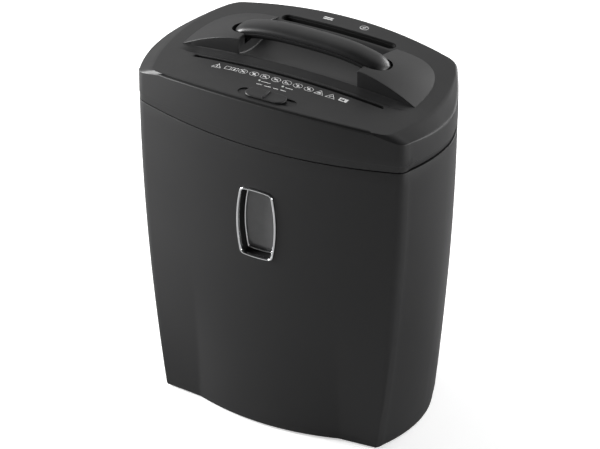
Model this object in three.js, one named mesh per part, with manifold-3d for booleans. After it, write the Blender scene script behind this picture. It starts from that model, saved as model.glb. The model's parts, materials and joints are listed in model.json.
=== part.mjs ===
// A cross-cut paper shredder: a tapered bin with a sight window, and a lift-off head that holds the
// carry handle, the paper and disc slots, the cutters, the motor and the gear train.
// Millimetres, +Z up, front towards -Y, origin at the centre of the floor area.
import * as THREE from "three";
import { mergeVertices } from "three/addons/utils/BufferGeometryUtils.js";
import Module from "manifold-3d";

const wasm = await Module();
wasm.setup();

// ---------- driving dimensions ----------
const GAP = 0.3; // clearance between pieces that touch
const RUN = 0.25; // radial clearance of a shaft in its bore
const WALL = 2.8; // moulded walls of the bin and the head

// plan of the head
const DEPTH = 206.8; // front to back at the middle
const CORNER_X = 158.5; // half width at the front corners
const WIDE_X = 173; // half width at the widest place
const WIDE_Y = -10;
const FRONT_BOW = 24; // how far the front bows out ahead of its corners
const BACK_BOW = 15.4; // the same at the back, over the rear corners
const BACK_CORNER_X = 128;
const FRONT_Y = -DEPTH / 2;
const BACK_Y = DEPTH / 2;
const CORNER_Y = FRONT_Y + FRONT_BOW;

// heights
const TOP = 404.5; // highest line of the crowned top
const CROWN_DROP = 10.3; // how far the crown falls at CROWN_X
const CROWN_X = 150;
const SEAM = 353; // joint between the bin and the head, at the corners
const SEAM_DIP = 3.5; // the joint dips this much at the middle
const SEAM_GAP = 1.2;
const LIP_TOP = 362; // the head's lip overhangs a recessed band below this height
const LIP_IN = 1.2;

// shoulders beside the top
const EDGE_CORNER_X = 141; // half width of the top's own edge at the front
const EDGE_WIDE_X = 155.3;
const SHOULDER_SLOPE = 0.45;

// bin
const FOOT = 4; // height of the feet
const FOOT_SHOWS = 2; // how much of a foot stands below the bin
const FOOT_R = 9;
const TAPER = 28; // how far each side draws in at the floor
const TAPER_POWER = 1.9;
const TAPER_START = 370;
const BELLY_TOP = 200; // height where the swelling of the lower front begins
const BELLY_X = 85; // half width of the swelling at the floor
const RIM_DEPTH = 11; // how far the head's tray reaches into the bin

// window
const WINDOW = { x: -3, z: 258, half: 23.4, corner: 19.6, height: 83, bow: 1.4, round: 5 };
const WINDOW_DEPTH = 9;
const WINDOW_RIM = 2.4;
const WINDOW_DRAFT = 3.2;
const PROUD = 1.6; // how far the window's rim and the cord gland stand out

// top details
const SLOT_Y = -38.4; // middle of the paper slot
const SLOT_LONG = 225; // an A4 sheet and its margins
const SLOT_WIDE = 6;
const VALLEY_DEEP = 2.4; // the guide slope's depth behind the slot
const HUMP_Y = -18.7; // front faces of the humps
const HUMP_IN = 70.6; // inner faces of the humps
const HUMP_LONG = 68;
const HUMP_BACK = 88;
const HUMP_HIGH = 18.3;
const SCOOP_END = 62;
const SCOOP_DEEP = 9;
const DISC_Y = 71.6;
const DISC_LONG = 136;
const DISC_WIDE = 13;
const SWITCH = { y: -85.5, left: -33.5, right: 35, wide: 14, deep: 2.6 };
const KNOB = { x: -0.5, long: 47, wide: 18, high: 2.2 };
const LED_R = 1.3;
const LEDS = { ready: -22.8, open: 5 };
const LED_Y = -59.4;

// handle
const HANDLE = { y: 13, z: 424, half: 91, deep: 15.5, over: 6.6, under: 8, drop: 8, dropX: 75 };
const HANDLE_END = 15; // length of the rounded ends
const POCKET_GAP = 2.6; // gap around the handle's ends
const POCKET_FLOOR = 401;
const NOTCH_FLOOR = 406.5; // floor of the notch where the handle passes a hump's inner wall

// cutting mechanism
const ROLL_Z = 352;
const ROLL_GAP = 34; // between the two roll axes
const ROLL_R = ROLL_GAP * 0.559;
const CORE_R = ROLL_GAP - ROLL_R - 1; // a disc clears the other roll's core by 1
const SHAFT_R = 5;
const CUTS = 9; // cutting discs on a roll
const CUT_PITCH = 24.6;
const CUT_WIDE = CUT_PITCH / 2 - 0.6; // each disc runs between two of the other roll's
const FINGER_WIDE = CUT_PITCH - CUT_WIDE - 3.9; // a comb's finger between two discs
const PLATE_X = 119; // inner faces of the frame plates
const PLATE = 2.5;
const PLATE_LOW = 318;
const PLATE_HIGH = 383;
const PLATE_FRONT = -78;
const PLATE_BACK = 83;
const MOTOR = { y: 24, z: 363, r: 22.5, from: -62, to: 96 };
const MOTOR_SHAFT_R = 3;
const DISC_ROLL = { y: 59.5, z: 356, r: 10.5, core: 6 };
const GEAR_WIDE = 5;
const LAYER = GEAR_WIDE + 1; // pitch of the gear layers outside the right frame plate
const OUTER_PLATE_X = PLATE_X + PLATE + 1 + 3 * LAYER;

// gears: module in mm and teeth
const ROLL_GEAR = { m: ROLL_GAP / 17, n: 17 };
const WHEEL = { m: 1.5, n: 35 };
const SMALL = { m: 1.5, n: 10 };
const IDLER = { m: 1.5, n: 25 };
const DISC_GEAR = { m: 1.5, n: 15 };
const LARGE = { m: 1.2, n: 40 };
const PINION = { m: 1.2, n: 10 };

// ---------- materials ----------
const charcoal = () => new THREE.MeshStandardMaterial({ color: 0x2b2b2d, roughness: 0.5 });
const black = () => new THREE.MeshStandardMaterial({ color: 0x121213, roughness: 0.6 });
const steel = () => new THREE.MeshStandardMaterial({ color: 0x9a9c9e, roughness: 0.35, metalness: 1 });
const plated = () => new THREE.MeshStandardMaterial({ color: 0xd9dadc, roughness: 0.1, metalness: 1 });
const smoked = () => new THREE.MeshStandardMaterial({ color: 0x6a6b6d, roughness: 0.2 });
const nylon = () => new THREE.MeshStandardMaterial({ color: 0xd8d4c4, roughness: 0.5 });
const rubber = () => new THREE.MeshStandardMaterial({ color: 0x1a1a1a, roughness: 0.9 });
const brass = () => new THREE.MeshStandardMaterial({ color: 0xb08d4a, roughness: 0.3, metalness: 1 });
const board = () => new THREE.MeshStandardMaterial({ color: 0x1f5a36, roughness: 0.6 });
const clear = () => new THREE.MeshStandardMaterial({ color: 0xe8ece8, roughness: 0.1 });

// ---------- solids ----------
const shredder = new THREE.Group();

function solid(geometry) {
  const bare = geometry.clone();
  bare.deleteAttribute("normal");
  bare.deleteAttribute("uv");
  const merged = mergeVertices(bare, 1e-4);
  const vertProperties = new Float32Array(merged.attributes.position.array);
  const triVerts = new Uint32Array(merged.index.array);
  const made = new wasm.Manifold(new wasm.Mesh({ numProp: 3, vertProperties, triVerts }));
  if (made.volume() > 0) return made;
  for (let i = 0; i < triVerts.length; i += 3) {
    [triVerts[i + 1], triVerts[i + 2]] = [triVerts[i + 2], triVerts[i + 1]];
  }
  return new wasm.Manifold(new wasm.Mesh({ numProp: 3, vertProperties, triVerts }));
}

function join(first, ...more) {
  return more.reduce((sum, each) => sum.add(each), first);
}

function cut(first, ...more) {
  return more.reduce((rest, each) => rest.subtract(each), first);
}

function add(name, shape, material, parent = shredder) {
  const { vertProperties, triVerts } = shape.getMesh();
  const geometry = new THREE.BufferGeometry();
  geometry.setAttribute("position", new THREE.BufferAttribute(vertProperties, 3));
  geometry.setIndex(new THREE.BufferAttribute(triVerts, 1));
  geometry.computeVertexNormals();
  const mesh = new THREE.Mesh(geometry, material);
  mesh.name = name;
  parent.add(mesh);
  return mesh;
}

function box(x0, x1, y0, y1, z0, z1) {
  const block = new THREE.BoxGeometry(x1 - x0, y1 - y0, z1 - z0);
  return solid(block.translate((x0 + x1) / 2, (y0 + y1) / 2, (z0 + z1) / 2));
}

// A bar along X, round or with any number of sides.
function barX(y, z, r, x0, x1, sides = 14) {
  const bar = new THREE.CylinderGeometry(r, r, x1 - x0, sides).rotateZ(Math.PI / 2);
  return solid(bar.translate((x0 + x1) / 2, y, z));
}

function barZ(x, y, r, z0, z1, sides = 12) {
  const bar = new THREE.CylinderGeometry(r, r, z1 - z0, sides).rotateX(Math.PI / 2);
  return solid(bar.translate(x, y, (z0 + z1) / 2));
}

// A profile drawn in (y, z), run along X.
const YZ_TO_X = new THREE.Matrix4().set(0, 0, 1, 0, 1, 0, 0, 0, 0, 1, 0, 0, 0, 0, 0, 1);
function runX(shape, x0, x1) {
  const profile = new THREE.Shape(shape.map(([a, b]) => new THREE.Vector2(a, b)));
  const run = new THREE.ExtrudeGeometry(profile, { depth: x1 - x0, bevelEnabled: false });
  return solid(run.applyMatrix4(YZ_TO_X).translate(x0, 0, 0));
}

// A plan drawn in (x, y), raised along Z.
function raise(shape, z0, z1, curveSegments = 6) {
  const block = new THREE.ExtrudeGeometry(shape, { depth: z1 - z0, bevelEnabled: false, curveSegments });
  return solid(block.translate(0, 0, z0));
}

// A skin through rings of equally many points, closed by a flat-triangulated cap at each end.
function loft(rings, flatten = (p) => new THREE.Vector2(p.x, p.y)) {
  const count = rings[0].length;
  const positions = rings.flat().flatMap((p) => [p.x, p.y, p.z]);
  const faces = [];
  for (let k = 0; k + 1 < rings.length; k++) {
    for (let i = 0; i < count; i++) {
      const a = k * count + i;
      const b = k * count + ((i + 1) % count);
      faces.push(a, b, b + count, a, b + count, a + count);
    }
  }
  const cap = (ring, first, flip) => {
    for (const [a, b, c] of THREE.ShapeUtils.triangulateShape(ring.map(flatten), [])) {
      faces.push(first + a, first + (flip ? c : b), first + (flip ? b : c));
    }
  };
  const turned = THREE.ShapeUtils.area(rings[0].map(flatten)) < 0;
  cap(rings[0], 0, !turned);
  cap(rings.at(-1), (rings.length - 1) * count, turned);
  const geometry = new THREE.BufferGeometry();
  geometry.setAttribute("position", new THREE.Float32BufferAttribute(positions, 3));
  geometry.setIndex(faces);
  return solid(geometry);
}

// Moves each point of a closed plan inwards by the distance that inset gives for it.
function shrink(points, inset) {
  const count = points.length;
  return points.map((p, i) => {
    const before = points[(i + count - 1) % count];
    const after = points[(i + 1) % count];
    const along = new THREE.Vector2(after.x - before.x, after.y - before.y).normalize();
    const by = typeof inset === "function" ? inset(p) : inset;
    return new THREE.Vector2(p.x - along.y * by, p.y + along.x * by);
  });
}

// ---------- shared surfaces ----------
const clamp = THREE.MathUtils.clamp;
const smooth = THREE.MathUtils.smoothstep;
const crown = (x) => TOP - CROWN_DROP * (x / CROWN_X) ** 2;
const seam = (x) => SEAM - SEAM_DIP * (1 - Math.min(1, (x / CORNER_X) ** 2));
const frontY = (x, bow = FRONT_BOW, corner = CORNER_X) => FRONT_Y + bow * (x / corner) ** 2;
const backY = (x) => BACK_Y - BACK_BOW * (x / BACK_CORNER_X) ** 2;

// The right half of a plan from the middle of the front to the middle of the back, mirrored:
// anticlockwise, with the same number of points whatever its sizes.
function plan({ corner, bow, wide, wideY, reach, back }) {
  const v = (x, y) => new THREE.Vector2(x, y);
  const bend = (a, b, c) => new THREE.QuadraticBezierCurve(a, b, c);
  const cornerY = FRONT_Y + bow;
  const frontEnd = v(corner - 9, frontY(corner - 9, bow, corner));
  const sideStart = v(corner + 2.2, cornerY + 9);
  const widest = v(wide, wideY);
  const sideEnd = v(back, 76);
  const backStart = v(120, backY(120));
  const halves = [
    [bend(v(0, FRONT_Y), v(frontEnd.x / 2, FRONT_Y), frontEnd), 8],
    [bend(frontEnd, v(corner + 0.6, cornerY), sideStart), 3],
    [bend(sideStart, v(wide, (sideStart.y + wideY) / 2), widest), 3],
    [new THREE.CubicBezierCurve(widest, v(wide, wideY + 22), v(reach, 34), sideEnd), 4],
    [bend(sideEnd, v(sideEnd.x - 6.2, 87.5), backStart), 3],
    [bend(backStart, v(60, BACK_Y), v(0, BACK_Y)), 5],
  ];
  const right = [];
  for (const [curve, steps] of halves) {
    right.push(...curve.getPoints(steps).slice(right.length ? 1 : 0));
  }
  const left = right
    .slice(1, -1)
    .reverse()
    .map((p) => v(-p.x, p.y));
  return [...right, ...left];
}

const headPlan = plan({
  corner: CORNER_X,
  bow: FRONT_BOW,
  wide: WIDE_X,
  wideY: WIDE_Y,
  reach: WIDE_X - 9,
  back: BACK_CORNER_X + 11.4,
});
const edgePlan = plan({
  corner: EDGE_CORNER_X,
  bow: FRONT_BOW * 0.92,
  wide: EDGE_WIDE_X,
  wideY: WIDE_Y + 8,
  reach: EDGE_WIDE_X - 1.8,
  back: BACK_CORNER_X + 10.9,
});
const at = (points, height) => points.map((p, i) => new THREE.Vector3(p.x, p.y, height(p, i)));

// One ring of the bin's outside at height z, drawn in from the head's plan.
function binRing(z) {
  const down = clamp((TAPER_START - z) / TAPER_START, 0, 1) ** TAPER_POWER;
  const belly = 1 - smooth(z, 0, BELLY_TOP);
  return headPlan.map((p) => {
    const share = Math.min(1, Math.abs(p.x) / CORNER_X);
    const draw = (TAPER - 5 * clamp(p.y / 60, 0, 1)) * down * share;
    const x = p.x - Math.sign(p.x) * draw;
    const wing = CORNER_Y - 4 + (4 * (Math.abs(x) - BELLY_X)) / 45;
    const swell = FRONT_Y + 6 + (CORNER_Y - 10 - FRONT_Y) * (x / BELLY_X) ** 2;
    const low = Math.abs(x) < BELLY_X ? swell : wing;
    const front = clamp((CORNER_Y + 20 - p.y) / 18, 0, 1);
    return new THREE.Vector2(x, p.y + Math.max(0, belly * front * (low - p.y)));
  });
}

// ---------- bin ----------
const BIN_LEVELS = [FOOT_SHOWS, 22, 60, 105, 155, 215];

function binOutside() {
  const rings = BIN_LEVELS.map((z) => at(shrink(binRing(z), 0.3), () => z));
  rings.push(at(shrink(binRing(SEAM), 0.3), (p) => seam(p.x)));
  return loft(rings);
}

function binInside() {
  const floor = FOOT_SHOWS + WALL;
  const levels = [floor, ...BIN_LEVELS.slice(2)];
  const rings = levels.map((z) => at(shrink(binRing(z), WALL + 0.3), () => z));
  rings.push(at(shrink(binRing(SEAM), WALL + 0.3), () => SEAM + 10));
  return loft(rings);
}

// The window's barrel-shaped outline in (x, z), grown or shrunk by an inset.
function windowOutline(inset) {
  const { x, z, half, corner, height, bow, round } = WINDOW;
  const w = half - inset;
  const c = corner - inset;
  const h = height / 2 - inset;
  const r = Math.max(1, round - inset);
  const s = new THREE.Shape();
  s.moveTo(x - c + r, z - h);
  s.quadraticCurveTo(x, z - h - bow, x + c - r, z - h);
  s.quadraticCurveTo(x + c, z - h, x + c + r * 0.12, z - h + r);
  s.quadraticCurveTo(x + 2 * w - c, z, x + c + r * 0.12, z + h - r);
  s.quadraticCurveTo(x + c, z + h, x + c - r, z + h);
  s.quadraticCurveTo(x, z + h + bow, x - c + r, z + h);
  s.quadraticCurveTo(x - c, z + h, x - c - r * 0.12, z + h - r);
  s.quadraticCurveTo(x - 2 * w + c, z, x - c - r * 0.12, z - h + r);
  s.quadraticCurveTo(x - c, z - h, x - c + r, z - h);
  return s.getPoints(4).slice(0, -1);
}

// A tube or plug of the window's outline between two depths behind the front, insets i0 and i1.
function windowPlug(y0, i0, y1, i1) {
  const ring = (y, inset) => windowOutline(inset).map((p) => new THREE.Vector3(p.x, y, p.y));
  return loft([ring(y0, i0), ring(y1, i1)], (p) => new THREE.Vector2(p.x, p.z));
}

const FACE = FRONT_Y + 0.6; // the bin's front at the window's sides
const RIM_FACE = FRONT_Y - PROUD;

function bin() {
  const hole = windowPlug(FACE - 8, -GAP, FACE + 8, -GAP);
  const cavity = binInside();
  const feet = footPlaces().map(([x, y]) => barZ(x, y, FOOT_R + GAP, 0, FOOT + GAP, 24));
  const pads = footPlaces().map(([x, y]) => barZ(x, y, FOOT_R + 4, FOOT_SHOWS + 1, FOOT + 3, 24));
  const shell = join(cut(binOutside(), cavity), ...pads.map((pad) => pad.intersect(binOutside())));
  return cut(shell, hole, ...feet);
}

function footPlaces() {
  return [
    [-104, -62],
    [104, -62],
    [-100, 68],
    [100, 68],
  ];
}

add("bin_shell", bin(), charcoal());
const FOOT_NAMES = ["foot_front_left", "foot_front_right", "foot_back_left", "foot_back_right"];
footPlaces().forEach(([x, y], i) => add(FOOT_NAMES[i], barZ(x, y, FOOT_R, 0, FOOT, 24), rubber()));

// Window: plated bezel outside, dark frame through the wall, thin bright rim around the pane.
function windowParts() {
  const back = FACE + WINDOW_DEPTH;
  const tubeIn = WINDOW_RIM + 1.6;
  const bezel = cut(
    windowPlug(RIM_FACE, 0.6, FACE + 1.6, 0),
    windowPlug(RIM_FACE - 1, WINDOW_RIM - 0.3, FACE + 3, WINDOW_RIM),
  );
  const frame = cut(
    windowPlug(FACE + 1.6 + GAP, 0, back + 2, 0),
    windowPlug(FACE, WINDOW_RIM, back - 2.2, WINDOW_RIM + WINDOW_DRAFT),
    windowPlug(back - 2.21, tubeIn, back + 3, tubeIn),
  );
  const rim = cut(
    windowPlug(back - 2, tubeIn + GAP, back - 0.4, tubeIn + GAP),
    windowPlug(back - 3, WINDOW_RIM + WINDOW_DRAFT + 0.9, back + 1, WINDOW_RIM + WINDOW_DRAFT + 0.9),
  );
  const pane = windowPlug(back - 0.4 + GAP, tubeIn + GAP, back + 1.6, tubeIn + GAP);
  add("window_bezel", bezel, plated());
  add("window_frame", frame, black());
  add("window_inner_rim", rim, plated());
  add("window_pane", pane, smoked());
}
windowParts();

// ---------- head shell ----------
// The head's outside, or the same block shrunk by a skin to hollow it.
function headBlock(skin) {
  const low = (p) => seam(p.x) + SEAM_GAP - (skin ? 20 : 0);
  const lipIn = (p) => skin + LIP_IN * clamp((p.y - CORNER_Y) / 12, 0.25, 1);
  const outer = shrink(headPlan, skin);
  const banded = skin ? outer : shrink(headPlan, lipIn);
  const edge = shrink(edgePlan, skin);
  const shoulder = edge.map((p, i) => {
    const wide = p.distanceTo(outer[i]);
    return crown(p.x) - SHOULDER_SLOPE * wide - skin;
  });
  const rings = [at(banded, low)];
  if (!skin) rings.push(at(banded, () => LIP_TOP - 1.2), at(outer, () => LIP_TOP));
  rings.push(at(outer, (p, i) => Math.min(shoulder[i], crown(edge[i].x) - skin - 0.4)));
  rings.push(at(edge, (p) => crown(p.x) - skin));
  rings.push(at(edge, () => TOP + 12));
  return loft(rings).intersect(underCrown(skin));
}

// Everything below the crowned surface, lowered by a skin.
function underCrown(skin) {
  const steps = 16;
  const reach = WIDE_X + 10;
  const shape = new THREE.Shape();
  shape.moveTo(-reach, 300);
  shape.lineTo(reach, 300);
  for (let i = 0; i <= steps; i++) {
    const x = reach - (2 * reach * i) / steps;
    shape.lineTo(x, crown(x) - skin);
  }
  const slab = new THREE.ExtrudeGeometry(shape, { depth: DEPTH + 40, bevelEnabled: false });
  return solid(slab.rotateX(Math.PI / 2).translate(0, BACK_Y + 20, 0));
}

// A hump beside the scoop; side is 1 or -1, skin lowers it to hollow it.
function hump(side, skin) {
  const across = 6;
  const along = 7;
  const ring = (x) => {
    const t = (x - HUMP_IN) / HUMP_LONG;
    const back = HUMP_Y + HUMP_BACK * Math.cbrt(Math.max(0.0005, 1 - t ** 3));
    const front = HUMP_Y + skin;
    const points = [];
    for (let j = 0; j <= along; j++) {
      const y = front + ((Math.max(back - skin, front + 1) - front) * j) / along;
      const r = Math.cbrt(t ** 3 + Math.max(0, (y - HUMP_Y) / HUMP_BACK) ** 3);
      const high = HUMP_HIGH * Math.max(0, 1 - r ** 1.65);
      points.push(new THREE.Vector3(side * x, y, crown(x) + high - skin));
    }
    points.push(new THREE.Vector3(side * x, points.at(-1).y, TOP - 22 - skin * 4));
    points.push(new THREE.Vector3(side * x, front, TOP - 22 - skin * 4));
    return points;
  };
  const rings = [];
  for (let i = 0; i <= across; i++) {
    const ease = Math.sin(((i / across) * Math.PI) / 2);
    rings.push(ring(HUMP_IN + skin + (HUMP_LONG - 1 - 2 * skin) * ease));
  }
  return loft(rings, (p) => new THREE.Vector2(p.y, p.z));
}

// A trough across the head whose bottom follows the crown; floor(y) gives its depth below it.
function trough(halfLong, y0, y1, floor, steps = 8, stations = 6) {
  const rings = [];
  for (let i = 0; i <= stations; i++) {
    const x = -halfLong + (2 * halfLong * i) / stations;
    const ring = [];
    for (let j = 0; j <= steps; j++) {
      const y = y0 + ((y1 - y0) * j) / steps;
      ring.push(new THREE.Vector3(x, y, crown(x) - floor(y, x)));
    }
    ring.push(new THREE.Vector3(x, y1, TOP + 40), new THREE.Vector3(x, y0, TOP + 40));
    rings.push(ring);
  }
  return loft(rings, (p) => new THREE.Vector2(p.y, p.z));
}

function scoop(skin) {
  const middle = (HUMP_Y + SCOOP_END) / 2;
  const half = (SCOOP_END - HUMP_Y) / 2;
  const bowl = (y) => SCOOP_DEEP * (1 - Math.min(1, ((y - middle) / half) ** 2)) + skin - 0.001;
  return trough(HUMP_IN + skin, HUMP_Y - skin, SCOOP_END + skin, bowl);
}

const SLOT_FRONT = SLOT_Y - SLOT_WIDE / 2;
const SLOT_BACK = SLOT_Y + SLOT_WIDE / 2;

// The slope behind the paper slot, from the slot's rear lip up to the humps' front faces.
function valley(skin) {
  const reach = HUMP_IN + HUMP_LONG - 2;
  const fade = (x) => 1 - smooth(Math.abs(x), SLOT_LONG / 2, reach);
  const slope = (y, x) => {
    const run = clamp((HUMP_Y - y) / (HUMP_Y - SLOT_BACK), 0, 1);
    return VALLEY_DEEP * run * fade(x) + skin - 0.001;
  };
  return trough(reach + skin, SLOT_FRONT - skin, HUMP_Y + skin, slope, 3, 10);
}

// A stadium standing on the plan, long along X.
function stadium(x0, x1, y, wide) {
  const r = wide / 2;
  const s = new THREE.Shape();
  s.moveTo(x0 + r, y - r);
  s.lineTo(x1 - r, y - r);
  s.absarc(x1 - r, y, r, -Math.PI / 2, Math.PI / 2, false);
  s.lineTo(x0 + r, y + r);
  s.absarc(x0 + r, y, r, Math.PI / 2, (3 * Math.PI) / 2, false);
  return s;
}

// The pocket in a hump that takes one end of the handle, from x = inner outwards; a skin gives its walls.
function pocket(side, skin, z0, z1, inner) {
  const end = HANDLE.half + POCKET_GAP + skin;
  const r = HANDLE.deep + POCKET_GAP + skin;
  const s = new THREE.Shape();
  s.moveTo(side * inner, HANDLE.y - r);
  s.lineTo(side * (end - r), HANDLE.y - r);
  s.absarc(side * (end - r), HANDLE.y, r, -Math.PI / 2, Math.PI / 2, side < 0);
  s.lineTo(side * inner, HANDLE.y + r);
  return raise(s, z0, z1, 8);
}

function headCover() {
  const outside = cut(join(headBlock(0), hump(1, 0), hump(-1, 0)), scoop(0), valley(0));
  const discEnd = DISC_LONG / 2 + 4;
  const pads = [
    scoop(WALL),
    valley(WALL),
    box(SWITCH.left - 6, SWITCH.right + 6, SWITCH.y - 11, SWITCH.y + 11, TOP - 9, TOP + 5),
    raise(stadium(-discEnd, discEnd, DISC_Y, DISC_WIDE + 8), TOP - 9, TOP + 5),
    pocket(1, 2.4, POCKET_FLOOR - 3, TOP + 40, HUMP_IN + 1),
    pocket(-1, 2.4, POCKET_FLOOR - 3, TOP + 40, HUMP_IN + 1),
  ];
  const hollow = cut(join(headBlock(WALL), hump(1, WALL), hump(-1, WALL)), ...pads);
  const bosses = SCREWS.map(([x, y]) => barZ(x, y, 4.5, PAN + PAN_THICK + GAP, TOP).intersect(headBlock(1)));
  const shell = join(cut(outside, hollow), ...bosses);
  const stemRight = STEM.half + STEM.travel * 2;
  const stemSlot = box(-STEM.half - STEM.travel, stemRight, SWITCH.y - 3, SWITCH.y + 3, TOP - 20, TOP + 5);
  const knobSlot = stadium(SWITCH.left, SWITCH.right, SWITCH.y, SWITCH.wide);
  return cut(
    shell,
    raise(stadium(-SLOT_LONG / 2, SLOT_LONG / 2, SLOT_Y, SLOT_WIDE), TOP - 20, TOP + 5),
    raise(stadium(-DISC_LONG / 2, DISC_LONG / 2, DISC_Y, DISC_WIDE), TOP - 20, TOP + 5),
    raise(knobSlot, TOP - SWITCH.deep, TOP + 5),
    stemSlot,
    pocket(1, 0, POCKET_FLOOR, TOP + 40, HUMP_IN + WALL),
    pocket(-1, 0, POCKET_FLOOR, TOP + 40, HUMP_IN + WALL),
    pocket(1, 0, NOTCH_FLOOR, TOP + 40, HUMP_IN - 6),
    pocket(-1, 0, NOTCH_FLOOR, TOP + 40, HUMP_IN - 6),
    ...Object.values(LEDS).map((x) => barZ(x, LED_Y, LED_R + GAP, TOP - 20, TOP + 5, 16)),
    ...SCREWS.map(([x, y]) => barZ(x, y, 1.9, PAN - 5, PAN + 20, 12)),
    ...[1, -1].map((side) => barZ(side * LEG_X, HANDLE.y, 2.3, POCKET_FLOOR - 9, POCKET_FLOOR + 5, 12)),
    glandHole(),
  );
}

// ---------- head tray ----------
const PAN = 356; // underside of the tray's plate
const PAN_THICK = 3;
const STEM = { half: 4, travel: 5.5 };
const LEG_X = 80;
const LEG_HALF = 5.5;
const GLAND = { x: -50, z: 374, r: 7 };
const INTERLOCK = { x: -146, y: -68, r: 2.2 };
const SCREWS = [
  [-149, -50],
  [149, -50],
  [-147, 38],
  [147, 38],
];

function glandHole() {
  const hole = new THREE.CylinderGeometry(GLAND.r + GAP, GLAND.r + GAP, 30, 14);
  return solid(hole.translate(GLAND.x, backY(GLAND.x), GLAND.z));
}

function headTray() {
  const plate = loft([
    at(shrink(headPlan, WALL + GAP + LIP_IN), () => PAN),
    at(shrink(headPlan, WALL + GAP + LIP_IN), () => PAN + PAN_THICK),
  ]);
  const inBin = (inset, z0, z1) => {
    const ring = shrink(binRing(SEAM - RIM_DEPTH), inset);
    return loft([at(ring, () => z0), at(ring, () => z1)]);
  };
  const rimOut = WALL + 0.3 + 1;
  const rim = cut(inBin(rimOut, SEAM - RIM_DEPTH, PAN + 1), inBin(rimOut + 2.2, SEAM - RIM_DEPTH - 1, PAN + 2));
  const left = -PLATE_X - PLATE - 3;
  const right = OUTER_PLATE_X + PLATE + 1;
  const mouth = box(left, right, PLATE_FRONT - 1, PLATE_BACK + 1, PAN - 20, PAN + 20);
  const corners = SCREWS.map(([x, y]) => barZ(x, y, 6.5, PAN, PAN + PAN_THICK, 12));
  const screwHoles = SCREWS.map(([x, y]) => barZ(x, y, 2.1, PAN - 5, PAN + 10, 12));
  const plungerHole = barZ(INTERLOCK.x, INTERLOCK.y, INTERLOCK.r + GAP, PAN - 20, PAN + 10);
  return cut(join(cut(join(plate, rim), mouth), ...corners), ...screwHoles, plungerHole);
}

const head = new THREE.Group();
shredder.add(head);
add("head_cover", headCover(), charcoal(), head);
add("head_tray", headTray(), black(), head);
const SCREW_NAMES = ["screw_front_left", "screw_front_right", "screw_back_left", "screw_back_right"];
SCREWS.forEach(([x, y], i) => {
  const screw = join(barZ(x, y, 1.6, PAN - 2, PAN + 16, 10), barZ(x, y, 3.6, PAN - 2.6, PAN - GAP, 12));
  add(SCREW_NAMES[i], screw, steel(), head);
});

// ---------- handle ----------
// One half of the handle's section at x, swept along its arch; from and to are angles of the section.
function handlePart(from, to, high, splitZ, wideBy) {
  const stations = 18;
  const arc = 8;
  const rings = [];
  for (let i = 0; i <= stations; i++) {
    const x = -HANDLE.half * Math.cos((Math.PI * i) / stations) * 0.999;
    const near = clamp((Math.abs(x) - (HANDLE.half - HANDLE_END)) / HANDLE_END, 0, 1);
    const round = Math.sqrt(1 - near ** 2);
    const z = HANDLE.z - HANDLE.drop * (Math.abs(x) / HANDLE.dropX) ** 3 + splitZ;
    const ring = [];
    for (let j = 0; j <= arc; j++) {
      const angle = from + ((to - from) * j) / arc;
      const reach = (HANDLE.deep - wideBy) * round;
      ring.push(new THREE.Vector3(x, HANDLE.y + reach * Math.cos(angle), z + high * round * Math.sin(angle)));
    }
    rings.push(ring);
  }
  return loft(rings, (p) => new THREE.Vector2(p.y, p.z));
}

function handle() {
  const grip = handlePart(0, Math.PI, HANDLE.over + 0.6, GAP / 2, 0.8);
  const leg = (side) => {
    const x = side * LEG_X;
    return box(x - LEG_HALF, x + LEG_HALF, HANDLE.y - 7, HANDLE.y + 7, POCKET_FLOOR + GAP, POCKET_FLOOR + 9);
  };
  const hole = (side) => barZ(side * LEG_X, HANDLE.y, 1.9, POCKET_FLOOR - 1, POCKET_FLOOR + 10, 12);
  const bar = handlePart(Math.PI, 2 * Math.PI, HANDLE.under, -GAP / 2, 0);
  const rail = cut(join(bar, leg(1), leg(-1)), hole(1), hole(-1));
  add("handle_grip", grip, rubber(), head);
  add("handle_rail", rail, charcoal(), head);
  for (const [side, name] of [[-1, "handle_screw_left"], [1, "handle_screw_right"]]) {
    const x = side * LEG_X;
    const shank = barZ(x, HANDLE.y, 1.6, POCKET_FLOOR - 4, POCKET_FLOOR + 9.5, 10);
    add(name, join(shank, barZ(x, HANDLE.y, 3.6, POCKET_FLOOR - 5.6, POCKET_FLOOR - 3 - GAP, 12)), steel(), head);
  }
}
handle();

// ---------- slots, switch and lamps ----------
function discBezel() {
  const z = crown(DISC_LONG / 2) - 3.4;
  const rim = stadium(-DISC_LONG / 2 + GAP, DISC_LONG / 2 - GAP, DISC_Y, DISC_WIDE - 2 * GAP);
  const lip = raise(rim, z - 5, z + 3);
  const throat = stadium(-DISC_LONG / 2 + 5, DISC_LONG / 2 - 5, DISC_Y - 0.8, DISC_WIDE - 6.4);
  const step = stadium(-DISC_LONG / 2 + 2.4, DISC_LONG / 2 - 2.4, DISC_Y, DISC_WIDE - 3.6);
  return cut(lip, raise(throat, z - 6, z + 4), raise(step, z + 1, z + 4));
}
add("disc_slot_bezel", discBezel(), black(), head);

// A chute below a slot: a block with a flared way through.
function chute(y, wide, long, z0, z1, funnel) {
  const half = long / 2 + 2.5;
  const reach = wide / 2 + 3;
  const outside = runX([[y - reach, z0], [y + reach, z0], [y + reach, z1], [y - reach, z1]], -half, half);
  const w = wide / 2;
  const way = [[y - w, z0 - 1], [y + w, z0 - 1], [y + w + funnel, z1 + 1], [y - w - funnel, z1 + 1]];
  return cut(outside, runX(way, -long / 2, long / 2));
}

const CHUTE_TOP = crown(SLOT_LONG / 2) - WALL - VALLEY_DEEP - 1;
const CHUTE_LOW = ROLL_Z + 19;
const FLAG = { half: 4, y: SLOT_Y + 7, z: CHUTE_TOP - 8 };

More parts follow.
